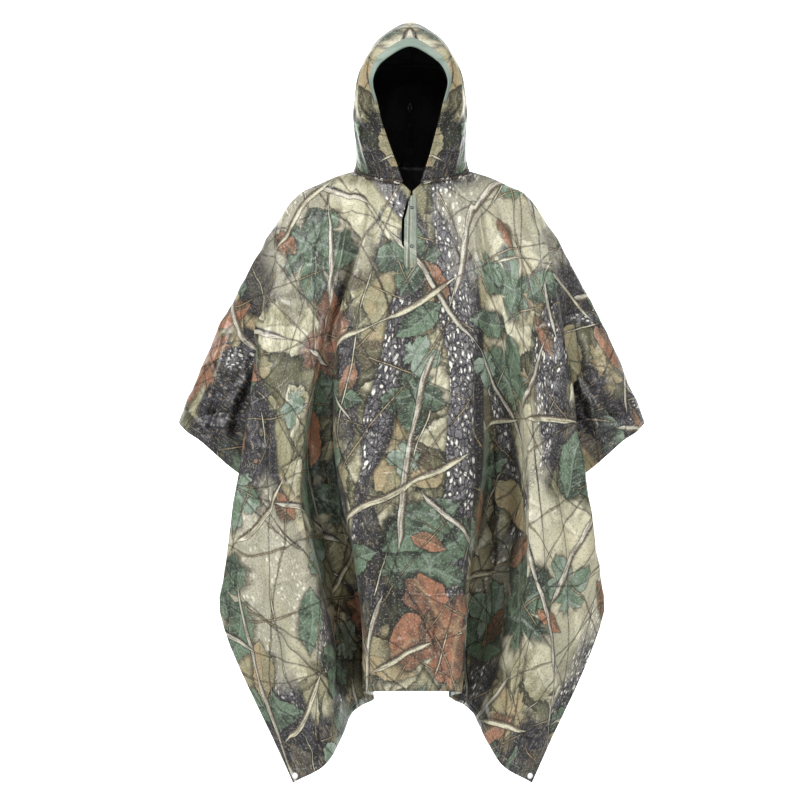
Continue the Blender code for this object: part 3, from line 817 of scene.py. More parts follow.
def lay_branches(graph, under, place, *row):
    """Branches or twigs of one angle, lit along one side and grained."""
    *branch, lit, shaded = row
    band = place_band(graph, place, *branch)
    under = darkened(graph, under, graph.rise(band["Inside"], -0.0035, 0.0005))
    colour = graph.mix(graph.rise(band["Across"], -0.1, 0.7), lit, shaded)
    grain = graph.noise(graph.join(graph.mul(band["Along"], 30.0), graph.mul(band["Off"], 240.0)), 1.0, 2.0)
    colour = graph.mix(graph.mul(graph.rise(grain, 0.46, 0.60), GRAIN_SHARE), colour, BROWN)
    return graph.mix(graph.rise(band["Inside"], 0.0, 0.0008), under, colour)


print(len(PRINT_AND_PAINTED_LIGHT_PATCHES), "patches under the leaves and", len(PAINTED_SHADE_PATCHES), "over them")

# %% The whole print


def after(graph, place, colour):
    """The same place, moved by too little to see. It makes the next layer wait for this colour, so that the
    renderer works the layers out one after another. All at once they fill its memory for one shader."""
    return graph.vector("ADD", place, graph.scaled(colour, 1e-7))


def build_print():
    """All the layers over a mottled ground, and fine dust over all."""
    graph, given, result = new_group("woodland_print", {"Place": "vector"}, {"Colour": "colour"})
    place = given["Place"]
    broad = graph.noise(place, 5.0, 2.0)
    fine = graph.noise(place, 38.0, 4.0, 0.6)
    streak = graph.noise(graph.vector("MULTIPLY", graph.turned(place, 0.35), (95.0, 9.0, 1.0)), 1.0, 3.0)
    mottle = graph.sub(graph.mul(fine, 1.7), 0.70)
    colour = graph.mix(graph.rise(broad, 0.36, 0.62), OLIVE, KHAKI)
    for row in BED_LAYERS:
        colour = lay_leaves(graph, colour, place, mottle, *row)
        place = after(graph, place, colour)
    colour = graph.mix(graph.mul(graph.rise(streak, 0.50, 0.62), 0.30), colour, OLIVE)
    for strip in BARK_STRIPS:
        colour = lay_bark(graph, colour, place, *strip)
        place = after(graph, place, colour)
    # bark and pale litter, which also paint shade and light
    colour = lay_patches(graph, colour, place, PRINT_AND_PAINTED_LIGHT_PATCHES)
    place = after(graph, place, colour)
    for row in LEAF_LAYERS:
        colour = lay_leaves(graph, colour, place, mottle, *row)
        place = after(graph, place, colour)
    # painted shade under the sleeves and at the corners, over the leaves
    colour = lay_patches(graph, colour, place, PAINTED_SHADE_PATCHES)
    place = after(graph, place, colour)
    for row in BRANCH_LAYERS:
        colour = lay_branches(graph, colour, place, *row)
        place = after(graph, place, colour)
    speckle = graph.noise(place, 240.0, 2.0, 0.6)
    colour = graph.mix(graph.mul(graph.rise(speckle, 0.60, 0.72), 0.25), colour, FLAKE)
    colour = graph.mix(graph.mul(graph.fall(speckle, 0.30, 0.42), 0.45), colour, SHADE)
    graph.plug(result["Colour"], colour)
    return graph.tree


woodland = build_print()
print("print nodes:", len(woodland.nodes))

# %% [markdown]
# ## The finishes
# The cloth is thin coated polyester: matt, with a faint satin sheen, and crumpled in tiny facets wherever
# it was folded. Its reverse has a plain grey-green coating. The crumple is bump only, worked out on the
# cut cloth so that it stays on the surface.

# %% Crumple and hem groups
HEM_WIDTH, HEM_SEAM = 0.014, 0.003  # the hem, and how far its seam runs from the turned edge
FACET_HEIGHT, RIDGE_HEIGHT, SOFT_HEIGHT, WEAVE_HEIGHT = 0.0100, 0.0034, 0.0100, 0.00001
PRESSED_HEIGHTS = (0.0044, 0.0018)  # of lines down the cloth, and of lines across it
PRESSED_LINES = (  # where the cloth was folded to pack it: along x or y of the flat cut
    (0, -0.036), (0, 0.052), (0, -0.300), (0, 0.335), (1, -0.360), (1, -0.612), (1, -0.655), (1, -0.905),
    (1, 0.420), (1, 0.790),
)


def build_crumple():
    """Small facets and a fine weave, as one height in metres, and a satin mask."""
    graph, given, result = new_group("crumple", {"Place": "vector"}, {"Height": "value", "Satin": "value"})
    place = given["Place"]
    shake = graph.scaled(graph.join(graph.noise(place, 9.0), graph.noise(place, 11.0)), 0.06)
    bent = graph.vector("ADD", place, shake)
    facets = graph.cells(bent, 13.0)["Distance"]
    ridges = graph.cells(bent, 7.0, feature="DISTANCE_TO_EDGE")["Distance"]
    soft = graph.noise(graph.vector("MULTIPLY", place, (1.0, 0.55, 1.0)), 16.0, 3.0, 0.55)
    height = graph.mul(facets, FACET_HEIGHT)
    height = graph.add(height, graph.mul(graph.fall(ridges, 0.0, 0.08), RIDGE_HEIGHT))
    height = graph.add(height, graph.mul(soft, SOFT_HEIGHT))
    x, y, _ = graph.split(place)
    uneven = graph.rise(graph.noise(place, 6.0, 2.0), 0.30, 0.60)
    for axis, line in PRESSED_LINES:
        off = graph.size(graph.sub(graph.add((x, y)[axis], graph.mul(soft, 0.012)), line + 0.006))
        fold = graph.mul(graph.fall(off, 0.0, 0.0040), uneven)
        height = graph.add(height, graph.mul(fold, PRESSED_HEIGHTS[axis]))
    weave = graph.mul(graph.math("SINE", graph.mul(x, 7000.0)), graph.math("SINE", graph.mul(y, 7000.0)))
    graph.plug(result["Height"], graph.add(height, graph.mul(weave, WEAVE_HEIGHT)))
    graph.plug(result["Satin"], graph.rise(soft, 0.35, 0.65))


def build_hem():
    """The doubled hem round the cut's edge: its height in metres, and a mask of painted highlight along its
    outer fold.
    """
    graph, given, result = new_group("hem", {"Place": "vector"}, {"Height": "value", "FoldHighlight": "value"})
    x, y, _ = graph.split(given["Place"])
    inward = graph.both(graph.sub(HALF_WIDTH, graph.size(x)), graph.sub(HALF_LENGTH, graph.size(y)))
    doubled = graph.fall(inward, HEM_WIDTH - 0.0015, HEM_WIDTH + 0.0015)
    sewn = graph.fall(graph.size(graph.sub(inward, HEM_WIDTH - HEM_SEAM)), 0.0, 0.0025)
    pucker = graph.noise(given["Place"], 120.0, 2.0)
    near = graph.fall(inward, 0.012, 0.035)
    height = graph.sub(graph.mul(doubled, 0.0008), graph.mul(sewn, 0.0010))
    graph.plug(result["Height"], graph.add(height, graph.mul(graph.mul(pucker, near), 0.0022)))
    # painted highlight along the hem's outer fold
    fold = graph.fall(graph.size(graph.sub(inward, HEM_WIDTH)), 0.0, 0.0016)
    graph.plug(result["FoldHighlight"], graph.mul(fold, graph.rise(pucker, 0.35, 0.6)))


build_crumple()
build_hem()
print("crumple and hem groups:", len(bpy.data.node_groups), "groups in all")

# %% Base colours of the cloths
NECK_SHADE = (0.17, 0.36)  # painted shade: inside, the cloth darkens from here in toward the neck, in metres on the cut
STRIP_FOLD_LIGHT_AND_SHADE = (  # painted highlights and shade of the folds down the placket's strip: across, reach, share, tone
    (-0.0058, 0.0026, 0.62, SHADE), (0.0110, 0.0016, 0.55, SHADE), (-0.0092, 0.0012, 0.60, CREAM),
    (-0.0020, 0.0010, 0.60, CREAM), (0.0045, 0.0012, 0.35, LICHEN),
)
STRIP_PRINT = 0.35
UNEVEN_TONE, NECK_SHADE_TONE = 0.75, 0.02


def toned(colour, tone):
    return [part * tone for part in colour[:3]] + [1.0]


def printed_base(graph, place, colour):
    return place_group(graph, "woodland_print", Place=place)["Colour"]


# Dark bark print, which on the neck seam also paints the shade in the gathers.
def bark_print_and_shade_base(graph, place, colour):
    along, off, _ = graph.split(place)
    bark = place_group(graph, "bark", Along=along, Off=off)
    base = graph.mix(bark["Plate"], FURROW, colour)
    return graph.mix(bark["Flake"], base, FLAKE)


def plain_base(graph, place, colour):
    """One coated colour, a little uneven, and in painted shade near the neck."""
    base = graph.mix(graph.noise(place, 25.0, 3.0), colour, toned(colour, UNEVEN_TONE))
    near_neck = graph.fall(graph.vector("LENGTH", place), *NECK_SHADE)
    return graph.mix(near_neck, base, toned(colour, NECK_SHADE_TONE))


def strip_base(graph, place, colour):
    """The print washed out under one colour, with the folds of the strip painted on as highlights and
    shade.
    """
    base = graph.mix(STRIP_PRINT, colour, printed_base(graph, place, colour))
    x, _, _ = graph.split(place)
    # painted highlights and shade along the strip's folds
    for middle, reach, share, tone in STRIP_FOLD_LIGHT_AND_SHADE:
        near = graph.fall(graph.size(graph.sub(x, middle)), 0.0, reach)
        base = graph.mix(graph.mul(near, share), base, tone)
    return base


print("painted fold light and shade lines on the strip:", len(STRIP_FOLD_LIGHT_AND_SHADE))

# %% Cloth finishes
CLOTH_ROUGHNESS, CLOTH_SPECULAR, CLOTH_SHEEN = 0.46, 0.5, 0.05
ROUGHER, SMOOTHER = 0.08, 0.05  # how far the satin changes the roughness up and down
HEM_HIGHLIGHT_SHARE, BUMP_STRENGTH = 0.45, 0.6


def cloth_material(name, base_of, colour=None, roughness=CLOTH_ROUGHNESS):
    """A coated cloth whose base colour is laid by one of the functions above."""
    made = bpy.data.materials.new(name)
    made.use_nodes = True
    graph = Graph(made.node_tree)
    shader = made.node_tree.nodes["Principled BSDF"]
    place = graph.node("UVMap", uv_map="cut").outputs[0]
    crumple = place_group(graph, "crumple", Place=place)
    hem = place_group(graph, "hem", Place=place)
    # painted highlight: the hem's outer fold is lightened
    base = graph.mix(graph.mul(hem["FoldHighlight"], HEM_HIGHLIGHT_SHARE), base_of(graph, place, colour), LICHEN)
    graph.plug(shader.inputs["Base Color"], base)
    satin = graph.blend(crumple["Satin"], roughness + ROUGHER, roughness - SMOOTHER)
    graph.plug(shader.inputs["Roughness"], satin)
    shader.inputs["Specular IOR Level"].default_value = CLOTH_SPECULAR
    shader.inputs["Sheen Weight"].default_value = CLOTH_SHEEN
    bump = graph.node("Bump")
    bump.inputs["Strength"].default_value = BUMP_STRENGTH
    bump.inputs["Distance"].default_value = 1.0
    graph.plug(bump.inputs["Height"], graph.add(crumple["Height"], hem["Height"]))
    graph.plug(shader.inputs["Normal"], bump.outputs[0])
    return made


cloth_outside = cloth_material("printed_outside", printed_base)
cloth_inside = cloth_material("coated_inside", plain_base, rgb(104, 116, 104))
# painted shade: the hood's inside is the coated reverse, made near black for the shade inside the hood
hood_painted_shade = cloth_material("hood_inside_painted_shade", plain_base, rgb(6, 6, 6), 0.9)
band_cloth = cloth_material("plain_band_cloth", plain_base, rgb(122, 138, 126))
strip_cloth = cloth_material("strip_cloth", strip_base, rgb(128, 138, 124))
# the seam roll is printed dark bark, which also paints the shade in its gathers
seam_cloth = cloth_material("gathered_seam_cloth", bark_print_and_shade_base, BROWN)
print("finishes:", cloth_outside.name, cloth_inside.name, hood_painted_shade.name, band_cloth.name)

# %% [markdown]
# ## Easing the flat cut
# The print and the seams follow the cut cloth, so every point needs its place on the flat sheet. A first
# guess runs straight between the two ends of each fold line. Springs along and across a coarse net, as
# long as on the worn form, then slide the points until the cloth is hardly stretched anywhere. The edges
# stay on the cut: the shoulder line, the hem, the side and the middle.

# %% Eased flat cut
EASE_ROWS = (2, 3, 3, 3, 3)
EASE_COLUMNS = (2, 3, 2, 2, 3, 2, 3, 3, 2)
EASE_PASSES, EASE_SPEED = 2500, 1.6
CORNER_STOP = FOLD_STOPS[FOLD_NAMES.index(SHARP_FOLD)]
TINY = 1e-6


def steps_between(stops, counts):
    """Even steps between each two stops, as many as counted there."""
    parts = [np.linspace(a, b, count, endpoint=False) for a, b, count in zip(stops, stops[1:], counts)]
    return np.append(np.concatenate(parts), stops[-1])


EASE_LEVELS = steps_between(LEVELS, EASE_ROWS)
EASE_STOPS = steps_between(FOLD_STOPS, EASE_COLUMNS)


def first_flat():
    """The first guess: straight lines between the flat ends of each fold."""
    ends = np.array([FLAT_ENDS[name] for name in FOLD_NAMES])
    share = EASE_LEVELS[:, None, None]
    rows = ends[None, :, 0] * (1 - share) + ends[None, :, 1] * share
    return np.stack([[np.interp(EASE_STOPS, FOLD_STOPS, row[:, axis]) for row in rows]
                     for axis in (0, 1)], axis=-1)


def eased_flat(side, face):
    """Flat places (out, along) of one quarter's coarse net, eased by springs."""
    flat = first_flat()
    worn = sheet_points(side, face, EASE_LEVELS, EASE_STOPS)
    number = np.arange(flat.shape[0] * flat.shape[1]).reshape(flat.shape[:2])
    pairs = [(number[:-1], number[1:]), (number[:, :-1], number[:, 1:]),
             (number[:-1, :-1], number[1:, 1:]), (number[:-1, 1:], number[1:, :-1])]
    one = np.concatenate([a.ravel() for a, b in pairs])
    two = np.concatenate([b.ravel() for a, b in pairs])
    worn, place = worn.reshape(-1, 3), flat.reshape(-1, 2)
    lengths = np.linalg.norm(worn[two] - worn[one], axis=1)
    count = np.bincount(np.concatenate([one, two]))[:, None]
    shoulder = number[0, EASE_STOPS >= FOLD_STOPS[NECK_FOLDS] - TINY]
    hem = number[-1, EASE_STOPS <= CORNER_STOP + TINY]
    edge = np.append(number[-1, EASE_STOPS >= CORNER_STOP - TINY], number[:, -1])
    for _ in range(EASE_PASSES):
        step = place[two] - place[one]
        length = np.linalg.norm(step, axis=1)
        push = step * (0.5 * (length - lengths) / np.maximum(length, TINY))[:, None]
        move = np.zeros_like(place)
        for axis in (0, 1):
            move[:, axis] = (np.bincount(one, push[:, axis], len(place))
                             - np.bincount(two, push[:, axis], len(place)))
        place += move / count * EASE_SPEED
        place[number[:, 0], 0] = 0.0
        place[shoulder, 1] = 0.0
        place[hem, 1] = HALF_LENGTH
        place[edge, 0] = HALF_WIDTH
    left_over = np.linalg.norm(place[two] - place[one], axis=1) / np.maximum(lengths, TINY)
    print("flat to worn:", np.percentile(left_over, (5, 50, 95)).round(2).tolist())
    return place.reshape(flat.shape)


FLAT = {(side, face): eased_flat(side, face) for side in (RIGHT, LEFT) for face in (FRONT, BACK)}


def flat_points(side, face, levels, stops):
    """Flat places of one quarter at the given levels and stops, with their signs."""
    rows = through(EASE_LEVELS, FLAT[side, face], levels)
    grid = through(EASE_STOPS, rows.transpose(1, 0, 2), stops).transpose(1, 0, 2)
    return grid * (side, face)


# %% [markdown]
# ## Creases
# Between the big folds the cloth keeps smaller ones: soft troughs where it hangs loose, and pressed lines
# from the bag it was folded into. Each is a line on the cut cloth with its own width, height and bow, and
# pushes the surface out or in along its normal. No two are alike, and the back has its own.

# %% Crease tables
CREASES = {
    # from (out, along), to (out, along), bow, width, height
    (RIGHT, FRONT): (
        ((0.125, 0.100), (0.255, 0.320), 0.010, 0.014, 0.008),
        ((0.255, 0.320), (0.415, 0.630), -0.008, 0.016, 0.007),
        ((0.415, 0.630), (0.500, 0.800), 0.006, 0.018, 0.006),
        ((0.100, 0.130), (0.220, 0.345), 0.012, 0.022, -0.009),
        ((0.300, 0.560), (0.335, 0.820), 0.010, 0.016, -0.010),
        ((0.335, 0.820), (0.470, 1.010), 0.010, 0.018, -0.009),
        ((0.495, 0.525), (0.650, 0.810), -0.015, 0.024, 0.006),
        ((0.455, 0.640), (0.675, 0.935), 0.012, 0.026, -0.008),
        ((0.465, 0.405), (0.485, 0.715), -0.020, 0.020, -0.007),
        ((0.500, 0.800), (0.715, 1.060), -0.010, 0.020, 0.008),
        ((0.545, 1.000), (0.680, 1.080), 0.010, 0.018, -0.006),
        ((0.055, 0.315), (0.070, 0.840), 0.008, 0.026, 0.004),
        ((0.030, 0.550), (0.035, 1.000), -0.010, 0.020, -0.004),
        ((0.075, 0.090), (0.095, 0.230), 0.008, 0.012, -0.004),
        ((0.155, 0.055), (0.275, 0.160), 0.010, 0.020, -0.007),
        ((0.255, 0.020), (0.345, 0.155), -0.006, 0.012, 0.006),
        ((0.345, 0.155), (0.480, 0.215), 0.010, 0.014, 0.006),
        ((0.500, 0.070), (0.685, 0.125), 0.010, 0.024, -0.006),
        ((0.560, 0.170), (0.690, 0.190), -0.012, 0.020, 0.007),
        ((0.690, 0.080), (0.640, 0.185), 0.004, 0.014, -0.010),
        ((0.705, 0.120), (0.672, 0.190), 0.004, 0.012, 0.006),
        ((-0.070, 0.752), (0.075, 0.748), 0.000, 0.012, 0.003),
    ),
    (LEFT, FRONT): (
        ((0.120, 0.055), (0.220, 0.300), -0.010, 0.014, 0.008),
        ((0.220, 0.300), (0.350, 0.425), 0.008, 0.015, 0.007),
        ((0.350, 0.425), (0.485, 0.795), -0.012, 0.016, 0.008),
        ((0.120, 0.400), (0.100, 0.715), 0.004, 0.012, 0.006),
        ((0.100, 0.715), (0.108, 1.095), 0.003, 0.012, 0.006),
        ((0.135, 0.405), (0.145, 0.915), 0.010, 0.018, -0.008),
        ((0.245, 0.550), (0.360, 0.880), -0.010, 0.018, 0.013),
        ((0.480, 0.530), (0.615, 0.815), 0.014, 0.024, -0.007),
        ((0.445, 0.650), (0.650, 0.935), -0.016, 0.022, 0.007),
        ((0.530, 0.920), (0.690, 1.075), 0.012, 0.020, -0.007),
        ((0.040, 0.375), (0.060, 0.915), -0.008, 0.022, -0.004),
        ((0.072, 0.510), (0.082, 1.000), 0.004, 0.018, 0.004),
        ((0.075, 0.085), (0.105, 0.230), 0.006, 0.014, -0.005),
        ((0.165, 0.055), (0.290, 0.165), -0.012, 0.022, -0.006),
        ((0.260, 0.060), (0.380, 0.170), 0.010, 0.018, 0.006),
        ((0.500, 0.070), (0.680, 0.130), -0.010, 0.022, -0.006),
        ((0.570, 0.175), (0.690, 0.190), 0.010, 0.018, 0.006),
        ((0.695, 0.085), (0.650, 0.180), -0.004, 0.014, -0.009),
        ((0.700, 0.130), (0.668, 0.195), -0.004, 0.012, 0.006),
        ((-0.060, 0.615), (0.060, 0.612), 0.000, 0.014, 0.003),
    ),
    (RIGHT, BACK): (
        ((0.120, 0.080), (0.235, 0.330), -0.008, 0.015, 0.008),
        ((0.240, 0.330), (0.390, 0.560), 0.010, 0.018, 0.007),
        ((0.105, 0.150), (0.190, 0.420), 0.010, 0.024, -0.008),
        ((0.250, 0.520), (0.330, 0.900), -0.012, 0.020, 0.010),
        ((0.480, 0.480), (0.610, 0.780), 0.016, 0.026, -0.007),
        ((0.430, 0.700), (0.630, 0.960), -0.012, 0.022, 0.008),
        ((0.520, 0.940), (0.680, 1.070), 0.010, 0.020, -0.006),
        ((0.040, 0.260), (0.050, 0.780), 0.010, 0.028, -0.005),
        ((0.170, 0.060), (0.280, 0.180), 0.014, 0.022, -0.006),
        ((0.300, 0.050), (0.420, 0.160), -0.010, 0.020, 0.006),
        ((0.520, 0.080), (0.680, 0.120), 0.010, 0.022, -0.006),
    ),
    (LEFT, BACK): (
        ((0.125, 0.090), (0.260, 0.300), 0.010, 0.016, 0.008),
        ((0.265, 0.310), (0.430, 0.650), -0.010, 0.018, 0.007),
        ((0.095, 0.140), (0.215, 0.380), -0.010, 0.024, -0.009),
        ((0.310, 0.600), (0.400, 0.930), 0.014, 0.018, -0.009),
        ((0.470, 0.420), (0.520, 0.740), -0.016, 0.022, 0.007),
        ((0.500, 0.640), (0.670, 0.900), 0.012, 0.026, -0.008),
        ((0.510, 0.860), (0.700, 1.060), -0.010, 0.020, 0.007),
        ((0.060, 0.350), (0.080, 0.950), -0.008, 0.022, 0.004),
        ((0.020, 0.160), (0.035, 0.520), 0.006, 0.026, -0.004),
        ((0.230, 0.050), (0.350, 0.190), 0.012, 0.018, 0.006),
        ((0.540, 0.090), (0.690, 0.150), -0.012, 0.020, 0.006),
        ((-0.090, 0.670), (0.110, 0.664), 0.000, 0.014, 0.003),
    ),
}
CREASE_WIDTHS, CREASE_HEIGHTS = 0.62, 1.6  # one scale for all the rows above
RIPPLE_HEIGHT, RIPPLE_SIZE = 0.0045, (0.060, 0.170)
CALM_SLIT = (0.030, 0.32)  # the cloth lies smooth beside the slit, round the neck and at the eyelets
CALM_NECK = (0.115, 0.088)
CALM_CORNER, CALM_CUFF = 0.020, (0.06, 0.25)
print("creases:", sum(len(rows) for rows in CREASES.values()))

# %% Crease heights


def crease_height(flat, start, end, bow, width, height):
    """How far one crease pushes each flat point out: a ridge between shallow troughs, less at its ends."""
    run = end - start
    length = np.linalg.norm(run)
    run = run / length
    side = np.array((-run[1], run[0]))
    t = np.clip((flat - start) @ run / length, 0.0, 1.0)
    line = start + t[:, None] * (end - start) + (4 * t * (1 - t) * bow)[:, None] * side
    near = np.linalg.norm(flat - line, axis=1) / width
    taper = np.sin(np.pi * (t * 0.92 + 0.04)) ** 0.6
    return height * taper * (np.exp(-near ** 2) - 0.35 * np.exp(-(near / 2.2) ** 2)) / 0.65


def ripples(flat):
    """Small uneven waves that run along the cloth."""
    places = [Vector((x / RIPPLE_SIZE[0], y / RIPPLE_SIZE[1], 0.0)) for x, y in flat]
    return np.array([noise.fractal(place, 1.0, 2.2, 2) for place in places]) * RIPPLE_HEIGHT


def all_heights(flat):
    """Creases and ripples together, faded out where the cloth lies smooth."""
    total = ripples(flat)
    for (side, face), rows in CREASES.items():
        turn = np.array((side, face))
        for start, end, bow, width, height in rows:
            start, end = np.array(start) * turn, np.array(end) * turn
            total += crease_height(flat, start, end, bow, width * CREASE_WIDTHS,
                                   height * CREASE_HEIGHTS)
    out, along = np.abs(flat).T
    slit = np.maximum(out / CALM_SLIT[0], along / CALM_SLIT[1]) ** 2 + 10.0 * (flat[:, 1] > 0)
    neck = np.hypot(out / CALM_NECK[0], along / CALM_NECK[1]) ** 2 / 1.3
    corner = np.hypot(HALF_WIDTH - out, HALF_LENGTH - along) / CALM_CORNER
    past_cuff = np.clip(along - 0.10, 0.0, 1.0)
    cuff = 1.2 + np.hypot((HALF_WIDTH - out) / CALM_CUFF[0], past_cuff / CALM_CUFF[1])
    calm = np.minimum(np.minimum(slit, neck), np.minimum(corner, cuff))
    return total * np.clip(calm - 1.0, 0.0, 1.0)


def crease(bm):
    """Move a mesh's points along their normals by the heights at their flat places."""
    bm.normal_update()
    layer = bm.verts.layers.float_vector["flat"]
    flat = np.array([vert[layer].xy for vert in bm.verts])
    for vert, height in zip(bm.verts, all_heights(flat)):
        vert.co += vert.normal * height


print("height at one place:", all_heights(np.array([[0.40, -0.60]])).round(4).tolist())

# %% [markdown]
# ## The sheet
# Each quarter is a grid whose corners are moved onto the surface. The quarters are merged along the
# shoulder line and the middle line, all but the neck slit, which stays open. The flat place of every
# corner becomes the UV map "cut", in metres. Each eyelet's hole is then opened in a finer patch.

# %% Sheet quarters
MERGE_DISTANCE = 0.0002
ROWS_PER_LEVEL = (13, 26, 32, 33, 26)
COLUMNS_PER_FOLD = (8, 13, 8, 7, 8, 8, 12, 11, 9)
SLIT_LEVELS = (0.0, 0.014, 0.025, 0.040, 0.072, 0.127, 0.138, 0.175)
SLIT_EDGES = {  # how far each side of the slit stands open, as stops
    RIGHT: (0.034, 0.0040, 0.0060, 0.0165, 0.0265, 0.0225, 0.0025, 0.0025),
    LEFT: (0.034, 0.0020, 0.0025, 0.0025, 0.0025, 0.0025, 0.0025, 0.0025),
}


def add_grid(bm, points, flat):
    """A grid of faces whose corners are the given rows of points."""
    layer = bm.verts.layers.float_vector.get("flat") or bm.verts.layers.float_vector.new("flat")
    rows, columns = points.shape[:2]
    made = bmesh.ops.create_grid(bm, x_segments=columns - 1, y_segments=rows - 1, size=0.5)["verts"]
    for vert in made:
        column = round((vert.co.x + 0.5) * (columns - 1))
        row = round((vert.co.y + 0.5) * (rows - 1))
        vert.co = points[row, column]
        vert[layer] = (*flat[row, column], 0.0)


def flat_to_uv(bm):
    """Copy each corner's flat place into the UV map "cut"."""
    layer = bm.verts.layers.float_vector["flat"]
    cut = bm.loops.layers.uv.new("cut")
    for face in bm.faces:
        for loop in face.loops:
            loop[cut].uv = loop.vert[layer].xy


def quarter(side, face, levels, stops):
    """Points and flat places of one quarter of the sheet, with the slit standing open in front."""
    points = sheet_points(side, face, levels, stops)
    flat = flat_points(side, face, levels, stops)
    if face == FRONT:
        for row in np.flatnonzero(levels <= SLIT_LEVELS[-1]):
            edge = np.interp(levels[row], SLIT_LEVELS, SLIT_EDGES[side])
            opened = np.interp(stops, (0.0, FOLD_STOPS[1], 1.0), (edge, FOLD_STOPS[1], 1.0))
            points[row] = sheet_points(side, face, levels[row:row + 1], opened)[0]
            flat[row] = flat_points(side, face, levels[row:row + 1], opened)[0]
    return points, flat


print("rows and columns of a quarter:", sum(ROWS_PER_LEVEL) + 1, sum(COLUMNS_PER_FOLD) + 1)

# %% Eyelet holes
EYELETS = ("eyelet_front_right", "eyelet_front_left", "eyelet_back_right", "eyelet_back_left")
HOLE_RADIUS, HOLE_REACH, HOLE_CUTS = 0.0047, 0.020, 4


def round_frame(name):
    """The place of a round CAD part: Z along its axis, out of the cloth, and the origin at its middle."""
    corners = np.array([vert.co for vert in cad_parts[name].data.vertices])
    middle = (corners.max(axis=0) + corners.min(axis=0)) / 2
    spread = corners - middle
    axis = Vector(np.linalg.eigh(spread.T @ spread)[1][:, 0])
    if axis.y * middle[1] < 0:
        axis.negate()
    return Matrix.Translation(middle) @ axis.to_track_quat("Z", "Y").to_matrix().to_4x4()


def punch_hole(bm, place):
    """Open a round hole in the sheet, after making its grid finer there."""
    inward = place.inverted()
    near = [face for face in bm.faces if (inward @ face.calc_center_median()).length < HOLE_REACH]
    edges = list({edge for face in near for edge in face.edges})
    bmesh.ops.subdivide_edges(bm, edges=edges, cuts=HOLE_CUTS, use_grid_fill=True)
    close = [vert for vert in bm.verts if (inward @ vert.co).length < HOLE_REACH]
    inside = [vert for vert in close if (inward @ vert.co).xy.length < HOLE_RADIUS]
    bmesh.ops.delete(bm, geom=inside, context="VERTS")
    for vert in [vert for vert in close if vert.is_valid and vert.is_boundary]:
        local = inward @ vert.co
        if local.xy.length < HOLE_RADIUS * 1.8:
            local.xy = local.xy.normalized() * HOLE_RADIUS
            vert.co = place @ local


print("eyelets at:", [tuple(round(part, 3) for part in round_frame(name).translation) for name in EYELETS])

# %% The sheet, whole
CLOTH_WALL = 0.0008


def build_sheet():
    """The four quarters in one mesh, creased, with its eyelet holes."""
    levels = steps_between(LEVELS, ROWS_PER_LEVEL)
    stops = steps_between(FOLD_STOPS, COLUMNS_PER_FOLD)
    bm = bmesh.new()
    for face in (FRONT, BACK):
        for side in (RIGHT, LEFT):
            add_grid(bm, *quarter(side, face, levels, stops))
    bmesh.ops.remove_doubles(bm, verts=bm.verts, dist=MERGE_DISTANCE)
    face_outward(bm, lambda face: face.normal.z * face.calc_area())
    crease(bm)
    for name in EYELETS:
        punch_hole(bm, round_frame(name))
    flat_to_uv(bm)
    return bm


def shell(piece, wall=CLOTH_WALL):
    """Give an open cloth its wall, on its inner side, with the second material there."""
    thicken = piece.modifiers.new("wall", "SOLIDIFY")
    thicken.thickness = wall
    thicken.offset = -1.0
    thicken.material_offset = 1
    piece.data.shade_smooth()


poncho_sheet = mesh_object("poncho_sheet", build_sheet(), cloth_outside, cloth_inside)
shell(poncho_sheet)
declare(poncho_sheet, "printed_cloth", "front", "back")
print("poncho_sheet:", len(poncho_sheet.data.polygons), "faces")

# %% [markdown]
# ## The hood
# The hood is two mirrored halves sewn along the middle of the head, and its lower edge is gathered into
# the neck. Its hoops stand from the face opening round to the back.

# %% Lengths and directions
LEAST_LENGTH = 1e-9


def arc_lengths(points, axis):
    """How far along its row each point of a grid lies."""
    steps = np.linalg.norm(np.diff(points, axis=axis), axis=2)
    start = np.zeros_like(np.take(steps, [0], axis=axis))
    return np.concatenate([start, np.cumsum(steps, axis=axis)], axis=axis)


def unit(vectors):
    return vectors / np.maximum(np.linalg.norm(vectors, axis=-1, keepdims=True), LEAST_LENGTH)


def turned_to(vectors, way):
    """The same vectors, each turned round where it points against its way."""
    return vectors * np.where(np.sum(vectors * way, axis=-1, keepdims=True) < 0, -1.0, 1.0)


def surface_normals(points, away_from):
    """Unit normals of a grid of points, all pointing away from one place."""
    normal = np.cross(np.gradient(points, axis=0), np.gradient(points, axis=1))
    return turned_to(unit(normal), points - away_from)


print("a unit diagonal:", unit(np.ones((1, 3))).round(3).tolist())

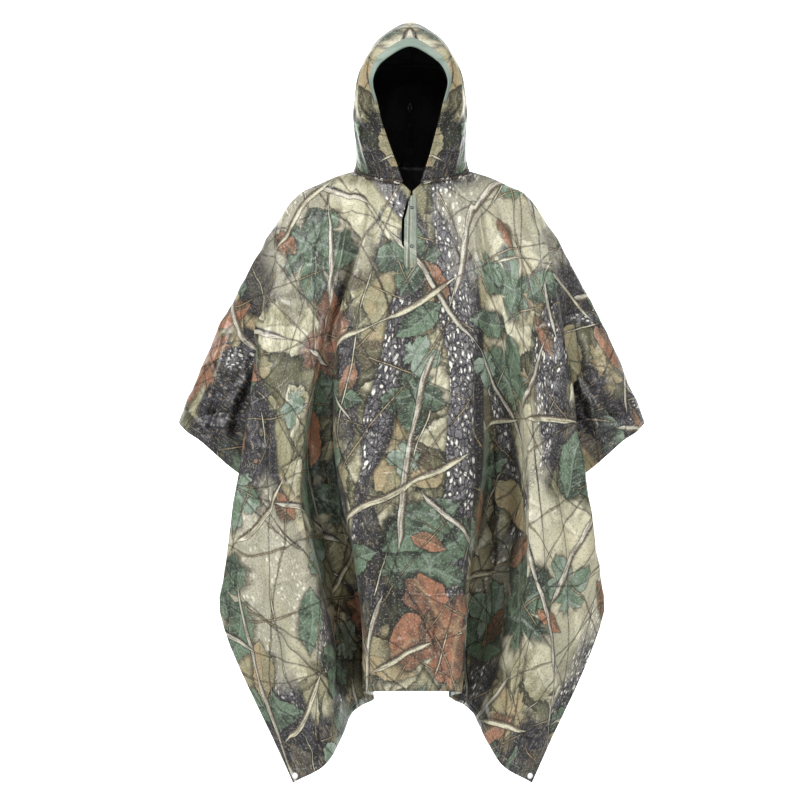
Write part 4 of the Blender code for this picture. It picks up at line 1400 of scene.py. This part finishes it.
# %% Hood tables
HEAD_MIDDLE = (0.0, 0.0, 0.15)
HOOD_LIFT = 0.0006
SEAM_OVERLAP = 0.0004  # the halves meet a little past the middle, so that no light comes through
CROWN_PEAK, PEAK_WIDTH = 0.0006, 0.014  # the crown seam stands up in a low ridge
HOOD_LEAN, LEAN_FROM, LEAN_OVER = 0.0032, 0.04, 0.08  # the hood stands a little toward the wearer's right
HOOD_LEVELS = (0.0, 0.28, 0.55, 0.74, 0.90, 1.0)
HOOP_STOPS = (0.0, 0.12, 0.28, 0.37, 0.46, 0.55, 0.64, 0.82, 1.0)
HOOD_HOOPS = {  # out, forward, height
    "face": (
        (0.0185, 0.087, 0.0085),
        (0.045, 0.104, 0.085),
        (0.066, 0.112, 0.162),
        (0.0745, 0.113, 0.216),
        (0.0455, 0.109, 0.256),
        (0.000, 0.105, 0.278),
    ),
    "brim": (
        (0.055, 0.075, 0.012),
        (0.080, 0.092, 0.085),
        (0.095, 0.094, 0.168),
        (0.091, 0.092, 0.232),
        (0.052, 0.086, 0.289),
        (0.000, 0.082, 0.316),
    ),
    "cheek": (
        (0.090, 0.045, 0.020),
        (0.108, 0.054, 0.092),
        (0.112, 0.052, 0.170),
        (0.097, 0.046, 0.244),
        (0.052, 0.038, 0.305),
        (0.000, 0.034, 0.3315),
    ),
    "temple": (
        (0.104, 0.023, 0.029),
        (0.1115, 0.024, 0.096),
        (0.1135, 0.018, 0.171),
        (0.098, 0.012, 0.246),
        (0.053, 0.004, 0.3105),
        (0.000, 0.000, 0.3362),
    ),
    "side": (
        (0.1125, 0.000, 0.0365),
        (0.1120, -0.006, 0.100),
        (0.1135, -0.016, 0.170),
        (0.098, -0.024, 0.242),
        (0.053, -0.032, 0.304),
        (0.000, -0.036, 0.3305),
    ),
    "behind_ear": (
        (0.104, -0.022, 0.040),
        (0.107, -0.036, 0.102),
        (0.109, -0.052, 0.166),
        (0.098, -0.062, 0.230),
        (0.053, -0.068, 0.286),
        (0.000, -0.072, 0.315),
    ),
    "nape_side": (
        (0.090, -0.044, 0.043),
        (0.096, -0.066, 0.102),
        (0.099, -0.088, 0.160),
        (0.088, -0.100, 0.216),
        (0.051, -0.104, 0.268),
        (0.000, -0.106, 0.288),
    ),
    "nape": (
        (0.055, -0.074, 0.049),
        (0.061, -0.102, 0.094),
        (0.064, -0.126, 0.140),
        (0.056, -0.137, 0.184),
        (0.033, -0.141, 0.226),
        (0.000, -0.142, 0.244),
    ),
    "back": (
        (0.000, -0.088, 0.052),
        (0.000, -0.116, 0.088),
        (0.000, -0.138, 0.124),
        (0.000, -0.148, 0.154),
        (0.000, -0.152, 0.180),
        (0.000, -0.152, 0.203),
    ),
}
HOOD_ROWS, HOOD_COLUMNS = (22, 16, 12, 12, 10), (18, 18, 10, 10, 10, 10, 16, 16)
GATHER_REACH, GATHER_HEIGHT = 0.017, 0.0042
GATHER_WAVES = ((610, 1.0, 0.0, 1), (371, 0.7, 2.3, 0), (1130, 0.5, 0.0, 2))  # as gathers() reads them
HOOD_CREASES = (
    # start and end (stop, level), bow, width, height: pressed lines and soft troughs on each half
    ((0.235, 0.02), (0.205, 0.34), 0.010, 0.011, 0.020),
    ((0.290, 0.04), (0.265, 0.42), -0.008, 0.016, -0.022),
    ((0.120, 0.05), (0.105, 0.30), 0.006, 0.014, -0.014),
    ((0.175, 0.50), (0.150, 0.86), 0.008, 0.016, 0.016),
    ((0.235, 0.46), (0.225, 0.80), -0.010, 0.020, -0.016),
    ((0.060, 0.78), (0.250, 0.93), 0.020, 0.022, 0.012),
    ((0.420, 0.10), (0.380, 0.75), 0.020, 0.035, -0.020),
    ((0.560, 0.05), (0.600, 0.60), -0.020, 0.030, 0.018),
    ((0.760, 0.10), (0.700, 0.55), 0.020, 0.035, -0.018),
    ((0.880, 0.30), (0.820, 0.85), -0.020, 0.030, 0.014),
)
HOOD_CREASE_WIDTHS, HOOD_CREASE_HEIGHTS, HOOD_SWAY = 1.6, 0.16, 0.012
print("hoops:", len(HOOD_HOOPS), "creases:", len(HOOD_CREASES))

# %% Hood surface


def hood_points(side, levels, stops):
    """Points of one half of the hood at the given levels and stops."""
    net = np.array([HOOD_HOOPS[name] for name in HOOD_HOOPS]).transpose(1, 0, 2)
    rows = through(*mirror_end(HOOD_LEVELS, net, OUT), levels)
    grid = through(*mirror_end(HOOP_STOPS, rows.transpose(1, 0, 2), OUT), stops).transpose(1, 0, 2)
    grid[..., OUT] = np.where(grid[..., OUT] < 0.0003, -SEAM_OVERLAP, grid[..., OUT])
    middle = np.exp(-((np.abs(grid[..., OUT]) / PEAK_WIDTH) ** 1.3))
    grid[..., 2] += CROWN_PEAK * middle * np.clip(grid[..., 2] / 0.20, 0, 1) ** 4
    grid = grid * (side, FRONT, 1.0) + (0.0, 0.0, HOOD_LIFT)
    grid[..., OUT] += RIGHT * HOOD_LEAN * np.clip((grid[..., 2] - LEAN_FROM) / LEAN_OVER, 0.0, 1.0)
    return grid


def gathers(along, side, waves):
    """Waves along a gathered edge: how close, share, start, and how much the start differs by side."""
    return sum(share * np.sin(along * close + start + side * sway) for close, share, start, sway in waves)


def hood_relief(side, points, levels, stops):
    """Gathers along the neck and the pressed creases, as heights over the hood."""
    along = arc_lengths(points, 1)
    up = arc_lengths(points, 0)
    relief = GATHER_HEIGHT / 2 * gathers(along, side, GATHER_WAVES) * np.exp(-(up / GATHER_REACH) ** 1.5)
    stop, level = np.meshgrid(stops, levels)
    places = np.stack([stop.ravel(), level.ravel()], axis=1)
    for row, (start, end, bow, width, height) in enumerate(HOOD_CREASES):
        sway = HOOD_SWAY * side * math.sin(2.1 * row)  # so the two halves aren't the same
        shift = np.array((sway, sway))
        height = crease_height(places, start + shift, end + shift, bow, width * HOOD_CREASE_WIDTHS,
                               height * HOOD_CREASE_HEIGHTS)
        relief += height.reshape(stop.shape)
    calm = np.clip(np.minimum(stop / 0.03, (1 - stop) / 0.02), 0.0, 1.0)
    return relief * calm * np.clip((1 - level) / 0.04, 0.0, 1.0)


print("top of the hood:", hood_points(LEFT, [1.0], [0.37])[0, 0].round(4).tolist())

# %% Hood halves
HOOD_CUT_AT = (0.35, 0.62)  # where the hood's cloth lies on the print


def hood_flat(points):
    return np.stack([arc_lengths(points, 1), -arc_lengths(points, 0)], axis=2) + HOOD_CUT_AT


def build_hood_half(side):
    """The mesh of one half, and the area of its cloth."""
    levels, stops = steps_between(HOOD_LEVELS, HOOD_ROWS), steps_between(HOOP_STOPS, HOOD_COLUMNS)
    points = hood_points(side, levels, stops)
    flat = hood_flat(points)
    relief = hood_relief(side, points, levels, stops)
    points += surface_normals(points, HEAD_MIDDLE) * relief[..., None]
    bm = bmesh.new()
    add_grid(bm, points, flat)
    face_outward(bm, lambda face: face.normal.dot(face.calc_center_median() - Vector(HEAD_MIDDLE)))
    flat_to_uv(bm)
    area = sum(face.calc_area() for face in bm.faces)
    return bm, area


hood_pieces = {}
for side, name in ((RIGHT, "hood_right"), (LEFT, "hood_left")):
    half_bm, half_area = build_hood_half(side)
    half = mesh_object(name + "_cloth", half_bm, cloth_outside, hood_painted_shade)
    shell(half)
    declare(half, "printed_cloth", name)
    hood_pieces[side] = (half, half_area)
    print(half.name, "area", round(half_area, 3))

# %% [markdown]
# ## The turned edge of the hood
# Round the face the hood's edge is turned over and sewn, and shows the plain coated side of the cloth. It
# is widest over the forehead and narrows to a thin hem at the cheeks. A strip of short rows follows the
# edge: from just inside, round the fold, and out over the hood. Its width is given at each level.

# %% Turned edge
BAND_LEVELS = (0.0, 0.30, 0.50, 0.62, 0.74, 0.86, 1.0)
BAND_WIDTHS = (0.0022, 0.0022, 0.0026, 0.0050, 0.0100, 0.0165, 0.0190)
BAND_PRINTED_BELOW = 0.168  # the narrow hem below this height shows the print
BAND_WALL, BAND_STEP = 0.0005, 0.02  # the cloth, and a short way in from the edge, as stops
BAND_SECTION = (  # share of the width over the hood, distance forward of the edge, height over the hood
    (0.30, 0.0, -0.0022),
    (0.05, 0.0003, -0.0022),
    (0.0, 0.0011, -0.0015),
    (0.0, 0.0014, -0.0004),
    (0.0, 0.0009, 0.0008),
    (0.10, 0.0, 0.0014),
    (0.45, 0.0, 0.0011),
    (0.80, 0.0, 0.0012),
    (0.93, 0.0, 0.0017),
    (1.0, 0.0, 0.0010),
    (1.02, 0.0, -0.0004),
)


def build_turned_edge(side):
    """Points and flat places of one side of the strip."""
    levels = np.linspace(0.0, 1.0, 90)
    edge, beyond = (hood_points(side, levels, [stop])[:, 0] for stop in (0.0, BAND_STEP))
    inward = unit(beyond - edge)
    stop_per_metre = BAND_STEP / np.linalg.norm(beyond - edge, axis=1)
    widths = np.interp(levels, BAND_LEVELS, BAND_WIDTHS)
    columns = []
    for share, forward, height in BAND_SECTION:
        stops = widths * share * stop_per_metre
        on_hood = np.array([hood_points(side, [level], [stop, stop + 0.01])[0]
                            for level, stop in zip(levels, stops)])
        here, further = on_hood.transpose(1, 0, 2)
        out = unit(np.cross(np.gradient(here, axis=0), further - here))
        columns.append(here - inward * forward + turned_to(out, here - HEAD_MIDDLE) * height)
    points = np.stack(columns, axis=1)
    points[-1, :, OUT] = RIGHT * HOOD_LEAN
    return points, hood_flat(points)


edge_bm = bmesh.new()
for side in (RIGHT, LEFT):
    add_grid(edge_bm, *build_turned_edge(side))
bmesh.ops.remove_doubles(edge_bm, verts=edge_bm.verts, dist=MERGE_DISTANCE)
bmesh.ops.recalc_face_normals(edge_bm, faces=edge_bm.faces)
flat_to_uv(edge_bm)
for face in edge_bm.faces:
    face.material_index = int(face.calc_center_median().z < BAND_PRINTED_BELOW)
turned_edge = mesh_object("hood_turned_edge", edge_bm, band_cloth, cloth_outside)
shell(turned_edge, BAND_WALL)
turned_edge.modifiers["wall"].material_offset = 0
declare(turned_edge, "plain_band", "hood_band")
print("turned edge:", len(turned_edge.data.polygons), "faces")

# %% [markdown]
# ## The neck seam
# The hood is gathered onto the neck edge, and the seam's raw edges are folded into a narrow roll. The
# roll is a grid wrapped round the seam line, squeezed in and out by the gathers.

# %% Neck seam
ROLL_OUT, ROLL_UP, ROLL_LIFT = 0.0030, 0.0042, 0.0006
ROLL_WAVES = ((900, 0.28, 0.0, 1), (533, 0.24, 1.0, 0))
ROLL_POINTS, ROLL_CORNERS, ROLL_TAPER = 260, 11, 0.004


def build_neck_seam():
    """The roll on both sides, as a grid wrapped round the hood's lowest row."""
    bm = bmesh.new()
    for side in (RIGHT, LEFT):
        line = hood_points(side, [0.0], np.linspace(0.0, 1.0, ROLL_POINTS))[0]
        along = arc_lengths(line[None], 1)[0]
        run = unit(np.gradient(line, axis=0))
        out = turned_to(unit(np.cross(run, (0.0, 0.0, 1.0))), line * (1.0, 1.0, 0.0))
        up = turned_to(np.cross(run, out), (0.0, 0.0, 1.0))
        taper = np.clip(along / ROLL_TAPER, 0.3, 1.0)
        squeeze = (1 + gathers(along, side, ROLL_WAVES)) * taper
        turn = np.linspace(0.0, math.tau, ROLL_CORNERS)
        wide = (ROLL_OUT * squeeze)[:, None, None] * np.cos(turn)[None, :, None] * out[:, None]
        high = (ROLL_UP * taper)[:, None, None] * np.sin(turn)[None, :, None] * up[:, None]
        points = line[:, None] + wide + high + out[:, None] * ROLL_LIFT
        flat = np.stack(np.broadcast_arrays(along[:, None], turn[None] * 0.0025), axis=2) + HOOD_CUT_AT
        add_grid(bm, points, flat)
    bmesh.ops.remove_doubles(bm, verts=bm.verts, dist=MERGE_DISTANCE)
    bmesh.ops.recalc_face_normals(bm, faces=bm.faces)
    flat_to_uv(bm)
    return bm


seam_bm = build_neck_seam()
# the roll's inward faces take the hood's near-black painted shade
for face in seam_bm.faces:
    face.material_index = int(face.normal.to_2d().dot(face.calc_center_median().to_2d()) < 0)
neck_seam = mesh_object("neck_seam_roll", seam_bm, seam_cloth, hood_painted_shade)
neck_seam.data.shade_smooth()
declare(neck_seam, "printed_cloth")
print("neck seam:", len(neck_seam.data.polygons), "faces")

# %% [markdown]
# ## The placket
# A flat double strip covers the slit. Its left edge is sewn to the left front, and its free edge laps
# over the right front, where a second strip lies behind. The free edge stands a little away, so the slit
# shows beside it as a dark line. Each strip is a grid on the front's own surface, raised by a profile of
# folds and seams.

# %% Placket strips
STRIP_WALL, STRIP_ROWS = 0.0006, 70
CHEST_MIDDLE = (0.0, 0.0, -0.1)
STRIP_END, STRIP_WAVE, STRIP_WAVES = 0.003, 0.0004, 95
STRIP_ON_CUT = (0.85, -0.088)  # metres across for each stop, and where level 0 lies along the cut
STRIP_LEVELS = (0.025, 0.040, 0.072, 0.127, 0.162, 0.172)
OVER_EDGES = ((-0.0040, -0.0092, -0.0194, -0.0175, -0.0160, -0.0120),
              (0.0146, 0.0150, 0.0148, 0.0118, 0.0108, 0.0070))
UNDER_EDGES = ((-0.0110,) * 6, (0.0170,) * 6)
OVER_PROFILE = (  # share of the width, height over the front
    (0.00, 0.0002), (-0.01, 0.0012), (0.02, 0.0024), (0.09, 0.0022), (0.135, 0.0013), (0.18, 0.0019),
    (0.44, 0.0021), (0.475, 0.0015), (0.51, 0.0022), (0.62, 0.0021), (0.665, 0.0012), (0.71, 0.0018),
    (0.92, 0.0017), (0.985, 0.0012), (1.00, 0.0001),
)
UNDER_PROFILE = ((0.0, -0.0026), (0.03, -0.0020), (0.5, -0.0020), (0.97, -0.0020), (1.0, -0.0026))


def front_row(level, signed_stops):
    """Points across the middle of the front: stops below zero lie on the wearer's right."""
    right, left = (sheet_points(side, FRONT, [level], np.abs(signed_stops))[0] for side in (RIGHT, LEFT))
    return np.where(signed_stops[:, None] < 0, right, left)


def strip_grid(edges, profile):
    """Points and flat places of a strip. Its two edges are given as stops at the strip's levels."""
    levels = np.linspace(STRIP_LEVELS[0], STRIP_LEVELS[-1], STRIP_ROWS)
    share, height = np.array(profile).T
    first, last = (np.interp(levels, STRIP_LEVELS, edge) for edge in edges)
    points = np.array([front_row(level, a + (b - a) * share) for level, a, b in zip(levels, first, last)])
    out = surface_normals(points, CHEST_MIDDLE)
    end = np.clip((STRIP_LEVELS[-1] - levels) / STRIP_END, 0.05, 1.0)[:, None, None]
    wave = STRIP_WAVE * np.sin(levels * STRIP_WAVES)[:, None, None] * (1 - share)[None, :, None]
    points = points + out * (height[None, :, None] * end + wave)
    across = first[:, None] + (last - first)[:, None] * share
    down = np.broadcast_to(levels[:, None], across.shape)
    flat = np.stack([across * STRIP_ON_CUT[0], STRIP_ON_CUT[1] - down], axis=2)
    return points, flat


def build_strip(name, edges, profile, node, finish):
    bm = bmesh.new()
    add_grid(bm, *strip_grid(edges, profile))
    face_outward(bm, lambda face: -face.normal.y)
    flat_to_uv(bm)
    strip = mesh_object(name, bm, finish, cloth_inside)
    shell(strip, STRIP_WALL)
    declare(strip, "printed_cloth", node)
    return strip


strip_over = build_strip("placket_over_strip", OVER_EDGES, OVER_PROFILE, "placket_over", strip_cloth)
strip_under = build_strip("placket_under_strip", UNDER_EDGES, UNDER_PROFILE, "placket_under", cloth_outside)
print("placket strips:", len(strip_over.data.polygons), len(strip_under.data.polygons))

# %% [markdown]
# ## Press studs and eyelets
# Both are pressed from thin metal and round, so each is a profile turned about its axis. A small CAD part
# has no direction of its own in the file, so the axis is where its shape is thinnest.

# %% Turned metal
STUD_PROFILE = (
    (0.0, 0.0007), (0.0011, 0.0008), (0.0015, 0.0013), (0.0022, 0.0018), (0.0034, 0.0017),
    (0.0042, 0.0011), (0.0045, 0.0003), (0.0045, 0.0), (0.0, 0.0),
)
EYELET_PROFILE = (
    (0.0036, 0.0009), (0.0040, 0.0015), (0.0048, 0.0017), (0.0058, 0.0013), (0.0065, 0.0006),
    (0.0064, 0.0003), (0.0045, 0.0003), (0.0045, -0.0005), (0.0064, -0.0005), (0.0065, -0.0008),
    (0.0058, -0.0015), (0.0048, -0.0018), (0.0040, -0.0016), (0.0036, -0.0009), (0.0036, 0.0009),
)
STUD_SINK = {"placket_stud_upper": 0.0002, "placket_stud_lower": 0.0009}
METAL_STEPS, WEAR_SCALE, WORN_TONE = 32, 900.0, 0.72


def metal_material(name, colour, roughness, metallic):
    """A hard finish, a little darker and rougher where a fine noise says that it is worn."""
    made = simple_material(name, colour, roughness, metallic)
    graph = Graph(made.node_tree)
    shader = made.node_tree.nodes["Principled BSDF"]
    place = graph.node("TexCoord").outputs["Object"]
    wear = graph.node("TexNoise", place)
    wear.inputs["Scale"].default_value = WEAR_SCALE
    wear.inputs["Detail"].default_value = 3.0
    worn = graph.rise(wear.outputs["Fac"], 0.35, 0.65)
    base = graph.mix(worn, toned(colour, WORN_TONE), (*colour, 1.0))
    graph.plug(shader.inputs["Base Color"], base)
    graph.plug(shader.inputs["Roughness"], graph.blend(worn, roughness + 0.12, roughness - 0.06))
    return made


def turned(profile, steps):
    """A closed solid from a profile of (radius, height) turned round Z."""
    bm = bmesh.new()
    verts = [bm.verts.new((radius, 0.0, height)) for radius, height in profile]
    edges = [bm.edges.new(pair) for pair in zip(verts, verts[1:])]
    bmesh.ops.spin(bm, geom=verts + edges, cent=(0, 0, 0), axis=(0, 0, 1), angle=math.tau, steps=steps,
                   use_merge=True)
    bmesh.ops.remove_doubles(bm, verts=bm.verts, dist=0.00002)
    bmesh.ops.recalc_face_normals(bm, faces=bm.faces)
    return bm


def place_metal(name, profile, node, finish, slot, sink=0.0):
    bm = turned(profile, METAL_STEPS)
    bm.transform(round_frame(node) @ Matrix.Translation((0.0, 0.0, -sink)))
    piece = mesh_object(name, bm, finish)
    piece.data.shade_smooth()
    declare(piece, slot, node)
    return piece


eyelet_metal = metal_material("eyelet_metal", (0.80, 0.81, 0.78), 0.38, 0.55)
stud_metal = metal_material("stud_enamel", (0.09, 0.10, 0.09), 0.30, 0.35)
metal_pieces = [place_metal(name + "_ring", EYELET_PROFILE, name, eyelet_metal, "eyelet_metal")
                for name in EYELETS]
for name, sink in STUD_SINK.items():
    metal_pieces.append(place_metal(name + "_cap", STUD_PROFILE, name, stud_metal, "stud_metal", sink))
print("metal pieces:", [piece.name for piece in metal_pieces])

# %% [markdown]
# ## Stitches
# Sewing shows as rows of short threads. Each stitch is a flattened small ball laid on the cloth, and all
# the stitches of one seam are one mesh. A row is given on the flat cut or near the surface, and each
# stitch is then dropped onto the cloth's own faces.

# %% Finding the cloth


def faces_of(piece, flat=False):
    """The triangles of a piece, in place and on the flat cut, and a tree to search them."""
    bm = bmesh.new()
    bm.from_mesh(piece.data)
    bmesh.ops.triangulate(bm, faces=bm.faces)
    layer = bm.verts.layers.float_vector["flat"]
    worn = [vert.co.copy() for vert in bm.verts]
    cut = [vert[layer].copy() for vert in bm.verts]
    triangles = [[vert.index for vert in face.verts] for face in bm.faces]
    bm.free()
    return worn, cut, triangles, BVHTree.FromPolygons(cut if flat else worn, triangles)


def on_flat(found, place):
    """The worn place and the normal of a place on the flat cut."""
    worn, cut, triangles, tree = found
    spot, _, index, _ = tree.find_nearest((*place, 0.0))
    corners = triangles[index]
    a, b, c = (worn[corner] for corner in corners)
    where = barycentric_transform(spot, *(cut[corner] for corner in corners), a, b, c)
    return where, (b - a).cross(c - a).normalized()


def on_worn(found, place):
    """The nearest place on the worn cloth, and the normal there."""
    return found[3].find_nearest(place)[:2]


sheet_faces = faces_of(poncho_sheet, flat=True)
print("the middle of the hem:", [round(part, 3) for part in on_flat(sheet_faces, (0.0, -HALF_LENGTH))[0]])

# %% Threads
STITCH_LENGTH, STITCH_GAP, STITCH_LEAST, STITCH_MOST = 0.0034, 0.0012, 0.0010, 0.0080
THREAD_WIDE, THREAD_HIGH, THREAD_LIFT = 0.00030, 0.00026, 0.0001  # half the thickness both ways
thread = metal_material("thread", rgb(176, 170, 146)[:3], 0.7, 0.0)


def add_stitches(bm, places):
    """Stitches along a row of (place, normal), one between every two."""
    for (start, normal), (end, _) in zip(places[::2], places[1::2]):
        run = end - start
        if not STITCH_LEAST < run.length < STITCH_MOST:
            continue
        side = normal.cross(run).normalized()
        turn = Matrix((run / 2, side * THREAD_WIDE, normal * THREAD_HIGH)).transposed().to_4x4()
        turn.translation = (start + end) / 2 + normal * THREAD_LIFT
        bmesh.ops.create_icosphere(bm, subdivisions=1, radius=1.0, matrix=turn)


def row_places(length):
    """Distances of the two ends of every stitch along a row."""
    pitch = STITCH_LENGTH + STITCH_GAP
    starts = np.arange(0.0, length - STITCH_LENGTH, pitch)
    return np.stack([starts, starts + STITCH_LENGTH], axis=1).ravel()


def stitch_line(bm, found, line):
    """Stitches along a line of points near a piece."""
    length = arc_lengths(line[None], 1)[0]
    ends = row_places(length[-1])
    places = np.stack([np.interp(ends, length, line[:, axis]) for axis in range(3)], axis=1)
    add_stitches(bm, [on_worn(found, place) for place in places])


def finish_stitches(name, bm, *nodes):
    piece = mesh_object(name, bm, thread)
    piece.data.shade_smooth()
    declare(piece, "printed_cloth", *nodes)
    print(name, len(piece.data.polygons), "faces")
    return piece


print("stitches along a metre:", len(row_places(1.0)) // 2)

# %% Hem stitches
STITCH_INSET, CORNER_GAP = HEM_WIDTH - HEM_SEAM, 0.010
hem_bm = bmesh.new()
out, along = HALF_WIDTH - STITCH_INSET, HALF_LENGTH - STITCH_INSET
for side in (-1, 1):
    across = [(x - out, side * along) for x in row_places(2 * out)]
    down = [(side * out, y - along) for y in row_places(2 * along)]
    for row in (across, down):
        row = [(x, y) for x, y in row if math.hypot(out - abs(x), along - abs(y)) > CORNER_GAP]
        add_stitches(hem_bm, [on_flat(sheet_faces, place) for place in row])
hem_stitches = finish_stitches("hem_stitches", hem_bm)

# %% Hood and placket stitches
STITCHED_LEVELS = (0.985, 0.035)  # beside the crown seam and above the neck
hood_stops = np.linspace(0.02, 0.98, 400)
hood_bm = bmesh.new()
for side, (half, _) in hood_pieces.items():
    found = faces_of(half)
    for level in STITCHED_LEVELS:
        stitch_line(hood_bm, found, hood_points(side, [level], hood_stops)[0])
edge_faces = faces_of(turned_edge)
for side in (RIGHT, LEFT):
    stitch_line(hood_bm, edge_faces, build_turned_edge(side)[0][2:-2, 7])
hood_stitches = finish_stitches("hood_stitches", hood_bm)

placket_bm = bmesh.new()
strip_points = strip_grid(OVER_EDGES, OVER_PROFILE)[0]
strip_faces = faces_of(strip_over)
for column in (4, 10):
    stitch_line(placket_bm, strip_faces, strip_points[3:-5, column])
placket_stitches = finish_stitches("placket_stitches", placket_bm)

# %% [markdown]
# ## The bar tack
# A block of close stitches across the strip's lower end keeps the slit from tearing further. It is the
# same thread, laid side by side inside the height of its CAD block.

# %% Bar tack
TACK_HALF_WIDTH, TACK_ROWS = 0.0042, 11
TACK_WIDE, TACK_HIGH, TACK_LIFT = 0.00055, 0.0006, 0.0004
tack_bm = bmesh.new()
low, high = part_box("placket_tack")
for row in range(TACK_ROWS):
    height = low.z + (high.z - low.z) * (row + 0.5) / TACK_ROWS
    ends = []
    for x in (-TACK_HALF_WIDTH + 0.0004 * (row % 2), TACK_HALF_WIDTH - 0.0003 * (row % 3)):
        spot, normal = on_worn(strip_faces, Vector((x, low.y, height)))
        ends.append((spot + normal * TACK_LIFT, normal))
    (start, normal), (end, _) = ends
    run = (end - start).normalized()
    turn = Matrix(((end - start) / 2, normal.cross(run) * TACK_WIDE, normal * TACK_HIGH))
    turn = turn.transposed().to_4x4()
    turn.translation = (start + end) / 2
    bmesh.ops.create_icosphere(tack_bm, subdivisions=2, radius=1.0, matrix=turn)
bar_tack = finish_stitches("placket_bar_tack", tack_bm, "placket_tack")

print("cut areas:", 4 * HALF_WIDTH * HALF_LENGTH, [round(area, 3) for _, area in hood_pieces.values()])
